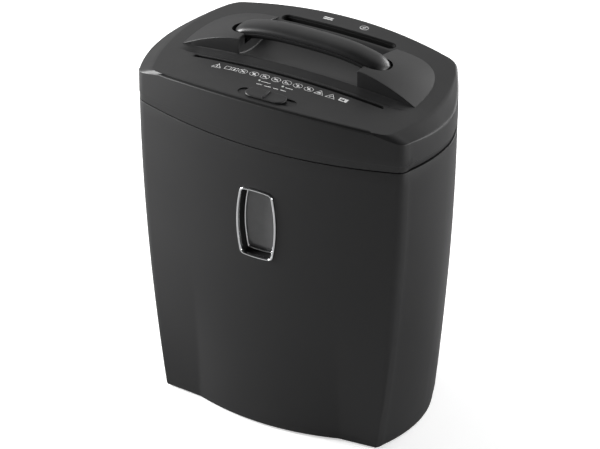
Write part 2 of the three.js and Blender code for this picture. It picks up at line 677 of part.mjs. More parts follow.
function paperChute() {
  const body = chute(SLOT_Y, SLOT_WIDE - 0.4, SLOT_LONG, CHUTE_LOW, CHUTE_TOP, 0.6);
  const notch = box(-FLAG.half - 1, FLAG.half + 1, SLOT_Y, SLOT_Y + 12, CHUTE_LOW + 1, CHUTE_TOP + 1);
  return cut(body, notch);
}
add("paper_chute", paperChute(), black(), head);

const DISC_CHUTE_TOP = crown(DISC_LONG / 2) - 9.6;
add("disc_chute", chute(DISC_Y, 5.4, 126, DISC_ROLL.z + 11, DISC_CHUTE_TOP, 1), black(), head);

// The function switch: a sliding knob with a cross ridge, and the switch body below it.
function knob() {
  const { x, long, wide, high } = KNOB;
  const cap = raise(stadium(x - long / 2, x + long / 2, SWITCH.y, wide), TOP + GAP, TOP + high);
  const { y } = SWITCH;
  const reach = wide / 2 - 1;
  const ridge = box(x - 1.4, x + 1.4, y - reach, y + reach, TOP + high - 1, TOP + high + 1.6);
  const stem = box(-STEM.half, STEM.half, y - 2.6, y + 2.6, TOP - 13, TOP + 1);
  return join(cap, ridge, stem);
}
add("function_knob", knob(), black(), head);

function functionSwitch() {
  const body = box(-20, 24, SWITCH.y - 7, SWITCH.y + 7, TOP - 22, TOP - 9.6);
  const left = -STEM.half - STEM.travel - 1;
  const right = STEM.half + STEM.travel * 2 + 1;
  return cut(body, box(left, right, SWITCH.y - 3, SWITCH.y + 3, TOP - 15, TOP));
}
add("function_switch", functionSwitch(), nylon(), head);

for (const [name, x] of Object.entries(LEDS)) {
  const pipe = barZ(x, LED_Y, LED_R, TOP - 9, crown(x) + 0.2, 16);
  add("lamp_" + name, join(pipe, barZ(x, LED_Y, 2.6, TOP - 9, TOP - 5, 16)), clear(), head);
}

// ---------- the mechanism ----------
const X_ROLL_GEARS = PLATE_X + PLATE + 1;
const X_WHEEL = X_ROLL_GEARS + LAYER;
const X_LARGE = X_WHEEL + LAYER;
const pitchR = ({ m, n }) => (m * n) / 2;
const spot = (y, z) => ({ y, z });
const ROLL_A = spot(SLOT_Y - ROLL_GAP / 2, ROLL_Z);
const ROLL_B = spot(SLOT_Y + ROLL_GAP / 2, ROLL_Z);
const MOTOR_AXIS = spot(MOTOR.y, MOTOR.z);
const DISC_AXIS = spot(DISC_ROLL.y, DISC_ROLL.z);

// The place at distance a from p and b from q, on the lower side of the line from p to q.
function meet(p, a, q, b) {
  const span = Math.hypot(q.y - p.y, q.z - p.z);
  const along = (a * a - b * b + span * span) / (2 * span);
  const off = Math.sqrt(a * a - along * along);
  const u = spot((q.y - p.y) / span, (q.z - p.z) / span);
  return spot(p.y + along * u.y + off * u.z, p.z + along * u.z - off * u.y);
}

const MESH_PLAY = 0.15; // the gears stand this much further apart than their pitch circles
const COMPOUND = meet(
  ROLL_B,
  pitchR(WHEEL) + pitchR(SMALL) + MESH_PLAY,
  MOTOR_AXIS,
  pitchR(LARGE) + pitchR(PINION) + MESH_PLAY,
);
const IDLER_AXIS = meet(
  COMPOUND,
  pitchR(SMALL) + pitchR(IDLER) + MESH_PLAY,
  DISC_AXIS,
  pitchR(IDLER) + pitchR(DISC_GEAR) + MESH_PLAY,
);

// Turn of a gear at place q that meshes with a gear at p whose own turn is known.
function meshTurn(p, gearP, turnP, q, gearQ) {
  const line = Math.atan2(q.z - p.z, q.y - p.y);
  return line + Math.PI - (Math.PI - gearP.n * (line - turnP)) / gearQ.n;
}

// A spur gear in the (y, z) plane with straight-sided teeth.
function gear(place, { m, n }, turn, x0, wide, bore) {
  const r = pitchR({ m, n });
  const root = r - 1.15 * m;
  const tip = r + 0.85 * m;
  const outline = [];
  for (let k = 0; k < n; k++) {
    for (const [reach, share] of [[root, -0.3], [tip, -0.16], [tip, 0.16], [root, 0.3]]) {
      const angle = turn + ((k + share) * 2 * Math.PI) / n;
      outline.push([place.y + reach * Math.cos(angle), place.z + reach * Math.sin(angle)]);
    }
  }
  return cut(runX(outline, x0, x0 + wide), barX(place.y, place.z, bore, x0 - 1, x0 + wide + 1, 12));
}

const turns = { small: 0, rollB: 0, large: 0 };
turns.wheel = meshTurn(COMPOUND, SMALL, turns.small, ROLL_B, WHEEL);
turns.rollA = meshTurn(ROLL_B, ROLL_GEAR, turns.rollB, ROLL_A, ROLL_GEAR);
turns.idler = meshTurn(COMPOUND, SMALL, turns.small, IDLER_AXIS, IDLER);
turns.disc = meshTurn(IDLER_AXIS, IDLER, turns.idler, DISC_AXIS, DISC_GEAR);
turns.pinion = meshTurn(COMPOUND, LARGE, turns.large, MOTOR_AXIS, PINION);

// A cutter roll: shaft, core and discs turned as one profile; shift staggers the two rolls.
function cutterRoll(place, shift, shaftEnd) {
  const long = CUTS * CUT_PITCH;
  const start = -long / 2;
  const profile = [
    [0, -PLATE_X - PLATE - 3],
    [SHAFT_R, -PLATE_X - PLATE - 3],
    [SHAFT_R, start],
    [CORE_R, start],
  ];
  for (let k = 0; k < CUTS; k++) {
    const x = start + (k + 0.25 + shift) * CUT_PITCH - CUT_WIDE / 2;
    profile.push([CORE_R, x], [ROLL_R, x], [ROLL_R, x + CUT_WIDE], [CORE_R, x + CUT_WIDE]);
  }
  profile.push([CORE_R, -start], [SHAFT_R, -start], [SHAFT_R, shaftEnd], [0, shaftEnd]);
  return turned(profile, place, 12);
}

// A profile of [radius, x] pairs turned about an axis along X.
function turned(profile, place, sides) {
  const points = profile.map(([r, x]) => new THREE.Vector2(r, x));
  const lathe = new THREE.LatheGeometry(points, sides).rotateZ(-Math.PI / 2);
  return solid(lathe.translate(0, place.y, place.z));
}

const rollEnd = X_ROLL_GEARS + GEAR_WIDE + 0.6;
const wheelEnd = X_WHEEL + GEAR_WIDE + 0.6;
add("cutter_roll_front", cutterRoll(ROLL_A, 0, rollEnd), steel(), head);
add("cutter_roll_back", cutterRoll(ROLL_B, 0.5, wheelEnd), steel(), head);
const bore = SHAFT_R + RUN;
add("roll_gear_front", gear(ROLL_A, ROLL_GEAR, turns.rollA, X_ROLL_GEARS, GEAR_WIDE, bore), steel(), head);
add("roll_gear_back", gear(ROLL_B, ROLL_GEAR, turns.rollB, X_ROLL_GEARS, GEAR_WIDE, bore), steel(), head);
add("main_wheel", gear(ROLL_B, WHEEL, turns.wheel, X_WHEEL, GEAR_WIDE, bore), nylon(), head);

function compoundGear() {
  const hub = SHAFT_R / 2 + RUN;
  const small = gear(COMPOUND, SMALL, turns.small, X_WHEEL, LAYER + 0.5, hub);
  return join(small, gear(COMPOUND, LARGE, turns.large, X_LARGE, GEAR_WIDE, hub));
}
add("compound_gear", compoundGear(), nylon(), head);
add("idler_gear", gear(IDLER_AXIS, IDLER, turns.idler, X_WHEEL, GEAR_WIDE, SHAFT_R / 2 + RUN), nylon(), head);

const axleFrom = PLATE_X - 2;
const axleTo = OUTER_PLATE_X + PLATE + 2;
add("compound_axle", barX(COMPOUND.y, COMPOUND.z, SHAFT_R / 2, axleFrom, axleTo, 12), steel(), head);
add("idler_axle", barX(IDLER_AXIS.y, IDLER_AXIS.z, SHAFT_R / 2, axleFrom, wheelEnd - 0.3, 12), steel(), head);

// The disc cutter: three narrow wheels on one shaft, working against a slotted anvil.
const DISC_CUTS = [-40, 0, 40];
function discCutter() {
  const profile = [[0, -PLATE_X - PLATE - 3], [3.6, -PLATE_X - PLATE - 3], [3.6, -62], [DISC_ROLL.core, -62]];
  for (const x of DISC_CUTS) {
    profile.push([DISC_ROLL.core, x - 3], [DISC_ROLL.r, x - 3], [DISC_ROLL.r, x + 3], [DISC_ROLL.core, x + 3]);
  }
  profile.push([DISC_ROLL.core, 62], [3.6, 62], [3.6, wheelEnd], [0, wheelEnd]);
  return turned(profile, DISC_AXIS, 12);
}
add("disc_cutter", discCutter(), steel(), head);
add("disc_gear", gear(DISC_AXIS, DISC_GEAR, turns.disc, X_WHEEL, GEAR_WIDE, 3.6 + RUN), nylon(), head);

function discAnvil() {
  const y = DISC_Y + 3.4;
  const bar = box(-PLATE_X + GAP, PLATE_X - GAP, y, y + 6, DISC_ROLL.z - 8, DISC_ROLL.z + 8);
  const notch = (x) => box(x - 3.6, x + 3.6, y - 1, y + 3, DISC_ROLL.z - 9, DISC_ROLL.z + 9);
  return cut(bar, ...DISC_CUTS.map(notch));
}
add("disc_anvil", discAnvil(), steel(), head);

// Combs that keep paper from wrapping round the rolls.
function comb(place, side, shift) {
  const start = (-CUTS * CUT_PITCH) / 2;
  const outer = place.y + side * (ROLL_R + 4);
  const inner = place.y + side * (CORE_R + 0.8);
  const lowTip = ROLL_Z - 5;
  const highTip = ROLL_Z + 5;
  const inside = outer - side * 3;
  const section = [[outer, ROLL_Z - 9], [inside, ROLL_Z - 9], [inside, ROLL_Z + 9], [outer, ROLL_Z + 9]];
  const back = runX(section, -PLATE_X + GAP, PLATE_X - GAP);
  const fingers = [];
  for (let k = 0; k < CUTS - 1; k++) {
    const middle = start + (k + 0.75 + shift) * CUT_PITCH;
    const reach = [inner, outer - side].sort((a, b) => a - b);
    fingers.push(box(middle - FINGER_WIDE / 2, middle + FINGER_WIDE / 2, ...reach, lowTip, highTip));
  }
  return join(back, ...fingers);
}
add("stripper_comb_front", comb(ROLL_A, -1, 0), nylon(), head);

// Frame: two plates inside, an outer plate over the gears, and tie rods between the plates.
const RODS = [
  ["tie_rod_front", spot(PLATE_FRONT + 6, ROLL_Z + 25)],
  ["tie_rod_low", spot(PLATE_FRONT + 8, PLATE_LOW + 6)],
  ["tie_rod_middle", spot(-3, PLATE_HIGH - 7)],
  ["tie_rod_back", spot(PLATE_BACK - 6, PLATE_LOW + 12)],
];
const ROD_R = 3;
const BUSH = 1.8; // wall of a bush
const bushR = (shaft) => shaft + RUN + BUSH;

function plateOutline(low) {
  return [
    [PLATE_FRONT, low],
    [PLATE_BACK, low + 6],
    [PLATE_BACK, PLATE_HIGH - 14],
    [PLATE_BACK - 14, PLATE_HIGH],
    [PLATE_FRONT + 8, PLATE_HIGH],
    [PLATE_FRONT, PLATE_HIGH - 8],
  ];
}

function framePlate(x0, axles) {
  const holes = [
    ...[ROLL_A, ROLL_B].map((p) => barX(p.y, p.z, bushR(SHAFT_R) + GAP, x0 - 1, x0 + PLATE + 1)),
    barX(DISC_AXIS.y, DISC_AXIS.z, bushR(3.6) + GAP, x0 - 1, x0 + PLATE + 1),
    ...RODS.map(([, p]) => barX(p.y, p.z, ROD_R + GAP, x0 - 1, x0 + PLATE + 1, 14)),
    ...axles.map(([p, r]) => barX(p.y, p.z, r, x0 - 1, x0 + PLATE + 1, 16)),
  ];
  return cut(runX(plateOutline(PLATE_LOW), x0, x0 + PLATE), ...holes);
}

const stub = SHAFT_R / 2 + GAP;
const EAR_Z = PAN + PAN_THICK + GAP; // the frame's ears rest on the tray
function leftEar(y) {
  return box(-PLATE_X - PLATE - 8, -PLATE_X - PLATE / 2, y, y + 12, EAR_Z, EAR_Z + PLATE);
}
const leftPlate = join(framePlate(-PLATE_X - PLATE, []), leftEar(PLATE_FRONT + 2), leftEar(PLATE_BACK - 16));
add("frame_plate_left", leftPlate, steel(), head);
add(
  "frame_plate_right",
  framePlate(PLATE_X, [[MOTOR_AXIS, MOTOR_SHAFT_R + 1.5], [COMPOUND, stub], [IDLER_AXIS, stub]]),
  steel(),
  head,
);
for (const [name, p] of RODS) {
  add(name, barX(p.y, p.z, ROD_R, -PLATE_X - PLATE - 2, PLATE_X + PLATE + 0.7, 14), steel(), head);
}

function bush(place, shaft, x0) {
  const hole = barX(place.y, place.z, shaft + RUN, x0 - 1, x0 + PLATE + 1, 12);
  return cut(barX(place.y, place.z, bushR(shaft), x0, x0 + PLATE, 12), hole);
}
add("bush_front_left", bush(ROLL_A, SHAFT_R, -PLATE_X - PLATE), brass(), head);
add("bush_front_right", bush(ROLL_A, SHAFT_R, PLATE_X), brass(), head);
add("bush_back_left", bush(ROLL_B, SHAFT_R, -PLATE_X - PLATE), brass(), head);
add("bush_back_right", bush(ROLL_B, SHAFT_R, PLATE_X), brass(), head);
add("bush_disc_left", bush(DISC_AXIS, 3.6, -PLATE_X - PLATE), brass(), head);
add("bush_disc_right", bush(DISC_AXIS, 3.6, PLATE_X), brass(), head);

function gearPlate() {
  const reach = 9;
  const outline = [
    [COMPOUND.y - reach, COMPOUND.z - reach],
    [COMPOUND.y + reach, COMPOUND.z - reach],
    [MOTOR.y + reach, MOTOR.z],
    [MOTOR.y + reach, MOTOR.z + reach],
    [COMPOUND.y - reach, MOTOR.z + reach],
  ];
  const x0 = OUTER_PLATE_X;
  const ear = box(x0, x0 + 10, COMPOUND.y - reach, COMPOUND.y + reach, EAR_Z, EAR_Z + PLATE);
  const plate = join(runX(outline, x0, x0 + PLATE), ear);
  const holes = [COMPOUND, MOTOR_AXIS].map((p) => barX(p.y, p.z, MOTOR_SHAFT_R + GAP, x0 - 1, x0 + PLATE + 1, 12));
  return cut(plate, ...holes);
}
add("gear_plate", gearPlate(), steel(), head);

// Motor: a case bolted inside the right plate, and its shaft with the pinion.
function motorCase() {
  const body = barX(MOTOR.y, MOTOR.z, MOTOR.r, MOTOR.from, MOTOR.to, 24);
  const nose = barX(MOTOR.y, MOTOR.z, 11, MOTOR.to - 1, PLATE_X - GAP, 20);
  const bore = barX(MOTOR.y, MOTOR.z, MOTOR_SHAFT_R + RUN, MOTOR.from - 1, PLATE_X + 1, 16);
  return cut(join(body, nose), bore);
}
add("motor_case", motorCase(), steel(), head);
const motorEnd = OUTER_PLATE_X + PLATE + 1;
add("motor_shaft", barX(MOTOR.y, MOTOR.z, MOTOR_SHAFT_R, MOTOR.from - 8, motorEnd, 14), steel(), head);
add("motor_pinion", gear(MOTOR_AXIS, PINION, turns.pinion, X_LARGE, GEAR_WIDE, MOTOR_SHAFT_R + RUN), brass(), head);

// ---------- control and safety ----------
function controlBoard() {
  const x0 = -162;
  const x1 = -PLATE_X - PLATE - 8;
  const z = PAN + PAN_THICK + 3;
  const plate = box(x0 + 8, x1, -36, 24, z, z + 1.6);
  const relay = box(x0 + 14, x0 + 29, -28, -14, z + 1.5, z + 17);
  const fuse = box(x0 + 13, x0 + 30, -10, -2, z + 1.5, z + 9);
  const posts = [-31, 19].map((y) => barZ(x0 + 14, y, 2.5, PAN + PAN_THICK + GAP, z + 1, 12));
  return join(plate, relay, fuse, ...posts);
}
add("control_board", controlBoard(), board(), head);
add("capacitor", barZ(-140, 9, 7, PAN + PAN_THICK + 3 + 1.6 + GAP, PAN + 26, 20), black(), head);

function cordGland() {
  const y = backY(GLAND.x);
  const along = (r, y0, y1) => {
    const tube = new THREE.CylinderGeometry(r, r, y1 - y0, 14);
    return solid(tube.translate(GLAND.x, (y0 + y1) / 2, GLAND.z));
  };
  const outside = join(along(GLAND.r, y - 10, BACK_Y), along(GLAND.r + 2, BACK_Y - 0.4, BACK_Y + PROUD));
  return cut(outside, along(3.6, y - 12, y + 6));
}
add("cord_gland", cordGland(), black(), head);

// The flag that paper pushes to start the motor, hung behind the slot.
function sensorFlag() {
  const { half, y, z } = FLAG;
  const pin = barX(y, z, 2, -half, half, 14);
  const arm = runX([[y - 1, z - 1.6], [y, z + 1.6], [SLOT_Y - 1.4, z - 5], [SLOT_Y - 1.4, z - 7]], -1.6, 1.6);
  return join(pin, arm);
}
add("sensor_flag", sensorFlag(), nylon(), head);

function interlockPlunger() {
  const { x, y, r } = INTERLOCK;
  const collar = barZ(x, y, r + 1.8, PAN + PAN_THICK + GAP, PAN + PAN_THICK + 3, 14);
  return join(barZ(x, y, r, SEAM + 0.8, PAN + 12, 14), collar);
}
add("interlock_plunger", interlockPlunger(), nylon(), head);

export default shredder;
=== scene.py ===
import json
import math

import bpy
import numpy as np
from mathutils import Matrix, Vector


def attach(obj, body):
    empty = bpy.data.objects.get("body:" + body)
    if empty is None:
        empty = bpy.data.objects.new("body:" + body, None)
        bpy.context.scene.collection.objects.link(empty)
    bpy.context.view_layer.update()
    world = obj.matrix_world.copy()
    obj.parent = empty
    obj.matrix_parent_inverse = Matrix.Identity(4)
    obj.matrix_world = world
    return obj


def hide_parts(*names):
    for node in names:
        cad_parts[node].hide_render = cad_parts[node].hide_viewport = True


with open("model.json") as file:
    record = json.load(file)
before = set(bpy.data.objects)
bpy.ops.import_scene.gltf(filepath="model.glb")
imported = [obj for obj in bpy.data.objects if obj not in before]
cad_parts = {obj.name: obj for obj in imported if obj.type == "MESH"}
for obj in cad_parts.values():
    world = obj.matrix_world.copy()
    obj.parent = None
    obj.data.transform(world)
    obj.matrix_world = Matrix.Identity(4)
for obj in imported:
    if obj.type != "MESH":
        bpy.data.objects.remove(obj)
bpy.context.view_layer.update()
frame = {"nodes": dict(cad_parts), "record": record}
MM = 0.001

# ---------- sizes in millimetres, as the frame has them ----------
FRONT_Y, BACK_Y = -103.4, 103.4
CORNER_X, FRONT_BOW, BACK_BOW = 158.5, 24.0, 15.4
CORNER_Y = FRONT_Y + FRONT_BOW
TOP, CROWN_DROP = 404.5, 10.3
SEAM, SEAM_DIP, SEAM_GAP = 353.0, 3.5, 1.2
LIP_TOP, LIP_IN, SHOULDER_SLOPE = 362.0, 2.0, 0.45
WALL = 2.8
SLOT_Y, SLOT_LONG, SLOT_WIDE = -38.4, 225.0, 6.0
SLOT_FRONT, SLOT_BACK = SLOT_Y - SLOT_WIDE / 2, SLOT_Y + SLOT_WIDE / 2
HUMP_Y, HUMP_IN, HUMP_LONG, HUMP_BACK, HUMP_HIGH = -18.7, 70.6, 68.0, 88.0, 18.3
SCOOP_END, SCOOP_DEEP = 62.0, 9.0
LIP_DROP, VALLEY_DEEP, VALLEY_FOOT = 0.5, 3.8, 6.0
DISC_Y, DISC_LONG, DISC_WIDE = 71.6, 136.0, 13.0
SWITCH_Y, SWITCH_LEFT, SWITCH_RIGHT, SWITCH_WIDE = -85.5, -33.5, 35.0, 14.0
HANDLE_Y, HANDLE_Z, HANDLE_HALF, HANDLE_DEEP = 13.0, 424.0, 91.0, 15.5
WIN_X, WIN_Z, WIN_HALF, WIN_CORNER, WIN_HIGH, WIN_BOW, WIN_ROUND = -3.0, 258.0, 23.4, 19.6, 83.0, 1.4, 7.0
FACE = FRONT_Y + 0.6
FEET = {"front_left": (-104, -62), "front_right": (104, -62)}
FEET |= {"back_left": (-100, 68), "back_right": (100, 68)}
POCKET_FLOOR, NOTCH_FLOOR, POCKET_GAP = 401, 406.5, 2.6
LEG_X, LEG_HALF, LEG_DEEP, LEG_FOOT, LEG_TOP = 80, 5.5, 7, 401.3, 410
LAMP_EYES, EYE_Y, EYE_R = (-22.8, 5), -59.4, 1.6
RECESS_DEEP, STEM_ROOM, STEM_LEFT, STEM_RIGHT = 1.6, 3, -9.8, 15.2
KNOB_LEFT, KNOB_RIGHT, KNOB_WIDE, KNOB_X = -24, 23, 18, -0.5
STEM_HALF, STEM_DEEP, STEM_FOOT = 4, 2.6, TOP - 13
INNER_ROOF, CLEAR, ABOVE = 380, 420, 445  # heights that cutters start and end at
INK_UP, INK_THICK = 0.035, 0.03

VALLEY_RISE = VALLEY_DEEP / (HUMP_Y - SLOT_BACK - VALLEY_FOOT)


# ---------- shaping helpers ----------
def deselect():
    bpy.ops.object.select_all(action="DESELECT")


def only(piece):
    deselect()
    piece.select_set(True)
    bpy.context.view_layer.objects.active = piece


def loft(name, rows):
    """Wraps a grid round closed rows of points, merges its seam and poles, and fills what is open."""
    rows = np.asarray(rows, float)
    levels, around = rows.shape[:2]
    deselect()
    bpy.ops.mesh.primitive_grid_add(x_subdivisions=around, y_subdivisions=levels - 1, size=2)
    piece = bpy.context.object
    piece.name = name
    piece.data.name = name
    co = np.empty(len(piece.data.vertices) * 3)
    piece.data.vertices.foreach_get("co", co)
    co = co.reshape(-1, 3)
    column = np.rint((co[:, 0] + 1) / 2 * around).astype(int) % around
    row = np.rint((co[:, 1] + 1) / 2 * (levels - 1)).astype(int)
    piece.data.vertices.foreach_set("co", (rows[row, column] * MM).ravel())
    piece.data.update()
    bpy.ops.object.mode_set(mode="EDIT")
    bpy.ops.mesh.select_all(action="SELECT")
    bpy.ops.mesh.remove_doubles(threshold=1e-7)
    bpy.ops.mesh.select_all(action="SELECT")
    bpy.ops.mesh.fill_holes(sides=0)
    bpy.ops.mesh.select_all(action="SELECT")
    bpy.ops.mesh.normals_make_consistent(inside=False)
    bpy.ops.object.mode_set(mode="OBJECT")
    return piece


def carve(piece, cutter, how="DIFFERENCE"):
    """Takes the cutter out of the piece, or joins it on, and removes it."""
    tool = piece.modifiers.new("carve", "BOOLEAN")
    tool.operation = how
    tool.solver = "EXACT"
    tool.object = cutter
    only(piece)
    bpy.ops.object.modifier_apply(modifier=tool.name)
    bpy.data.objects.remove(cutter)
    return piece


def soften(piece, degrees=30):
    only(piece)
    bpy.ops.object.shade_smooth_by_angle(angle=math.radians(degrees))


def fitted(piece, body, slot, *nodes):
    """Puts a piece on the body it rides on, hides the nodes it stands for, and gives it the finish of its
    slot.
    """
    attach(piece, body)
    if nodes:
        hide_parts(*nodes)
    piece.data.materials.clear()
    piece.data.materials.append(FINISH[slot])
    return piece


def smooth(v, a, b):
    """0 up to a, 1 from b on, eased between them."""
    t = np.clip((v - a) / (b - a), 0, 1)
    return t * t * (3 - 2 * t)


def crown(x):
    """The height of the head's top, which falls away to both sides."""
    return TOP - CROWN_DROP * (np.asarray(x, float) / 150) ** 2


def seam(x):
    """The height of the joint between bin and head, lowest in the middle."""
    return SEAM - SEAM_DIP * (1 - np.minimum(1, (x / CORNER_X) ** 2))


def back_y(x):
    return BACK_Y - BACK_BOW * (x / 128) ** 2


def fillet(d, r):
    """How far a rounded edge of radius r has fallen at distance d inside it."""
    d = np.clip(d, 0, r)
    return r - np.sqrt(r * r - (r - d) ** 2)


def bend(a, b, c, steps, reach=0.8):
    """A quadratic curve; reach is how much of it the first four fifths of the steps take up."""
    t = np.interp(np.linspace(0, 1, steps + 1), [0, 0.8, 1], [0, reach, 1])[:, None]
    return (1 - t) ** 2 * np.array(a) + 2 * t * (1 - t) * np.array(b) + t * t * np.array(c)


def plan(corner, bow, wide, wide_y, reach, back, front_reach=0.8):
    """The outline seen from above, starting in the middle of the front and going round by the right."""
    corner_y = FRONT_Y + bow
    front_end = np.array([corner - 9, FRONT_Y + bow * ((corner - 9) / corner) ** 2])
    side_start = np.array([corner + 2.2, corner_y + 9])
    t = np.linspace(0, 1, 25)[:, None]
    a, b, c, d = (np.array(p, float) for p in ((wide, wide_y), (wide, wide_y + 22), (reach, 34), (back, 76)))
    parts = [
        bend([0, FRONT_Y], [front_end[0] / 2, FRONT_Y], front_end, 48, front_reach),
        bend(front_end, [corner + 0.6, corner_y], side_start, 16),
        bend(side_start, [wide, (side_start[1] + wide_y) / 2], [wide, wide_y], 16),
        (1 - t) ** 3 * a + 3 * t * (1 - t) ** 2 * b + 3 * t * t * (1 - t) * c + t**3 * d,
        bend(d, [back - 6.2, 87.5], [120, back_y(120)], 16),
        bend([120, back_y(120)], [60, BACK_Y], [0, BACK_Y], 30),
    ]
    right = np.vstack([parts[0]] + [p[1:] for p in parts[1:]])
    left = right[1:-1][::-1] * [-1, 1]
    return np.vstack([right, left])


HEAD_PLAN = plan(CORNER_X, FRONT_BOW, 173, -10, 164, 139.4)
EDGE_PLAN = plan(141, FRONT_BOW * 0.92, 155.3, -2, 153.5, 138.9, 0.906)


def shrink(points, inset):
    """The outline moved inwards by inset, which is one number or one for each point."""
    along = np.roll(points, -1, 0) - np.roll(points, 1, 0)
    along /= np.linalg.norm(along, axis=1)[:, None]
    inward = np.stack([-along[:, 1], along[:, 0]], 1)
    return points + inward * np.reshape(inset, (-1, 1))


def at(points, z):
    return np.column_stack([points, np.broadcast_to(z, len(points))])


def pole(like, x, y, z):
    """A row drawn together to one point, to close the end of a loft."""
    return np.broadcast_to([x, y, z], (len(like), 3))


def stadium(x0, x1, y, wide, inset=0.0, steps=14):
    """An outline with two straight sides and round ends."""
    r = wide / 2 - inset
    a = np.linspace(-math.pi / 2, math.pi / 2, steps + 1)
    mid = np.linspace(0, 1, 25)[1:-1]
    x0, x1 = x0 + wide / 2, x1 - wide / 2
    right = np.column_stack([x1 + r * np.cos(a), y + r * np.sin(a)])
    upper = np.column_stack([x1 + (x0 - x1) * mid, np.full(23, y + r)])
    left = np.column_stack([x0 - r * np.cos(a), y - r * np.sin(a)])
    lower = np.column_stack([x0 + (x1 - x0) * mid, np.full(23, y - r)])
    return np.vstack([right, upper, left, lower])


def column(name, points, z0, z1):
    return loft(name, [at(points, z0), at(points, z1)])


def brick(name, x0, x1, y0, y1, z0, z1):
    return column(name, np.array([[x0, y0], [x1, y0], [x1, y1], [x0, y1]], float), z0, z1)


# ---------- finishes ----------
def group(name, inputs, outputs):
    tree = bpy.data.node_groups.new(name, "ShaderNodeTree")
    for title, kind, value in inputs:
        socket = tree.interface.new_socket(title, in_out="INPUT", socket_type=kind)
        if value is not None:
            socket.default_value = value
    for title, kind in outputs:
        tree.interface.new_socket(title, in_out="OUTPUT", socket_type=kind)
    return tree, tree.nodes.new("NodeGroupInput"), tree.nodes.new("NodeGroupOutput")


def node(tree, kind, values=None, **settings):
    made = tree.nodes.new(kind)
    for key, value in settings.items():
        setattr(made, key, value)
    for key, value in (values or {}).items():
        made.inputs[key].default_value = value
    return made


F, V = "NodeSocketFloat", "NodeSocketVector"


def grain_group():
    """Spark-eroded mould grain: fine pits over a softer unevenness."""
    t, i, o = group("moulded_grain", [("Vector", V, None), ("Size", F, 1.0)], [("Height", F), ("Mottle", F)])
    per = node(t, "ShaderNodeMath", {0: 1.0}, operation="DIVIDE")
    t.links.new(i.outputs["Size"], per.inputs[1])
    fine_scale = node(t, "ShaderNodeMath", {1: 1400.0}, operation="MULTIPLY")
    t.links.new(per.outputs[0], fine_scale.inputs[0])
    pits = node(t, "ShaderNodeTexVoronoi", {"Randomness": 1.0}, feature="SMOOTH_F1")
    soft = node(t, "ShaderNodeTexNoise", {"Scale": 420.0, "Detail": 4.0, "Roughness": 0.6})
    broad = node(t, "ShaderNodeTexNoise", {"Scale": 9.0, "Detail": 3.0, "Roughness": 0.5})
    for tex in (pits, soft, broad):
        t.links.new(i.outputs["Vector"], tex.inputs["Vector"])
    t.links.new(fine_scale.outputs[0], pits.inputs["Scale"])
    height = node(t, "ShaderNodeMath", {1: 0.55}, operation="MULTIPLY_ADD")
    t.links.new(soft.outputs["Fac"], height.inputs[0])
    t.links.new(pits.outputs["Distance"], height.inputs[2])
    t.links.new(height.outputs[0], o.inputs["Height"])
    t.links.new(broad.outputs["Fac"], o.inputs["Mottle"])
    return t


def wear_group():
    """Edges rubbed by hands and paper: the mask is high on outside corners, broken up by noise."""
    t, i, o = group("edge_wear", [("Vector", V, None), ("From", F, 0.52), ("To", F, 0.6)], [("Mask", F)])
    shape = node(t, "ShaderNodeNewGeometry")
    ramp = node(t, "ShaderNodeMapRange")
    t.links.new(shape.outputs["Pointiness"], ramp.inputs["Value"])
    t.links.new(i.outputs["From"], ramp.inputs["From Min"])
    t.links.new(i.outputs["To"], ramp.inputs["From Max"])
    rub = node(t, "ShaderNodeTexNoise", {"Scale": 160.0, "Detail": 5.0, "Roughness": 0.65})
    t.links.new(i.outputs["Vector"], rub.inputs["Vector"])
    broken = node(t, "ShaderNodeMath", operation="MULTIPLY")
    t.links.new(ramp.outputs["Result"], broken.inputs[0])
    t.links.new(rub.outputs["Fac"], broken.inputs[1])
    t.links.new(broken.outputs[0], o.inputs["Mask"])
    return t


def dust_group():
    """Paper dust that settles on what faces up."""
    t, i, o = group("paper_dust", [("Vector", V, None), ("Amount", F, 0.2)], [("Mask", F)])
    shape = node(t, "ShaderNodeNewGeometry")
    parts = node(t, "ShaderNodeSeparateXYZ")
    t.links.new(shape.outputs["Normal"], parts.inputs[0])
    up = node(t, "ShaderNodeMapRange", {"From Min": 0.45, "From Max": 1.0})
    t.links.new(parts.outputs["Z"], up.inputs["Value"])
    lie = node(t, "ShaderNodeTexNoise", {"Scale": 36.0, "Detail": 7.0, "Roughness": 0.7})
    t.links.new(i.outputs["Vector"], lie.inputs["Vector"])
    patch = node(t, "ShaderNodeMapRange", {"From Min": 0.42, "From Max": 0.75})
    t.links.new(lie.outputs["Fac"], patch.inputs["Value"])
    a = node(t, "ShaderNodeMath", operation="MULTIPLY")
    t.links.new(up.outputs["Result"], a.inputs[0])
    t.links.new(patch.outputs["Result"], a.inputs[1])
    b = node(t, "ShaderNodeMath", operation="MULTIPLY")
    t.links.new(a.outputs[0], b.inputs[0])
    t.links.new(i.outputs["Amount"], b.inputs[1])
    t.links.new(b.outputs[0], o.inputs["Mask"])
    return t


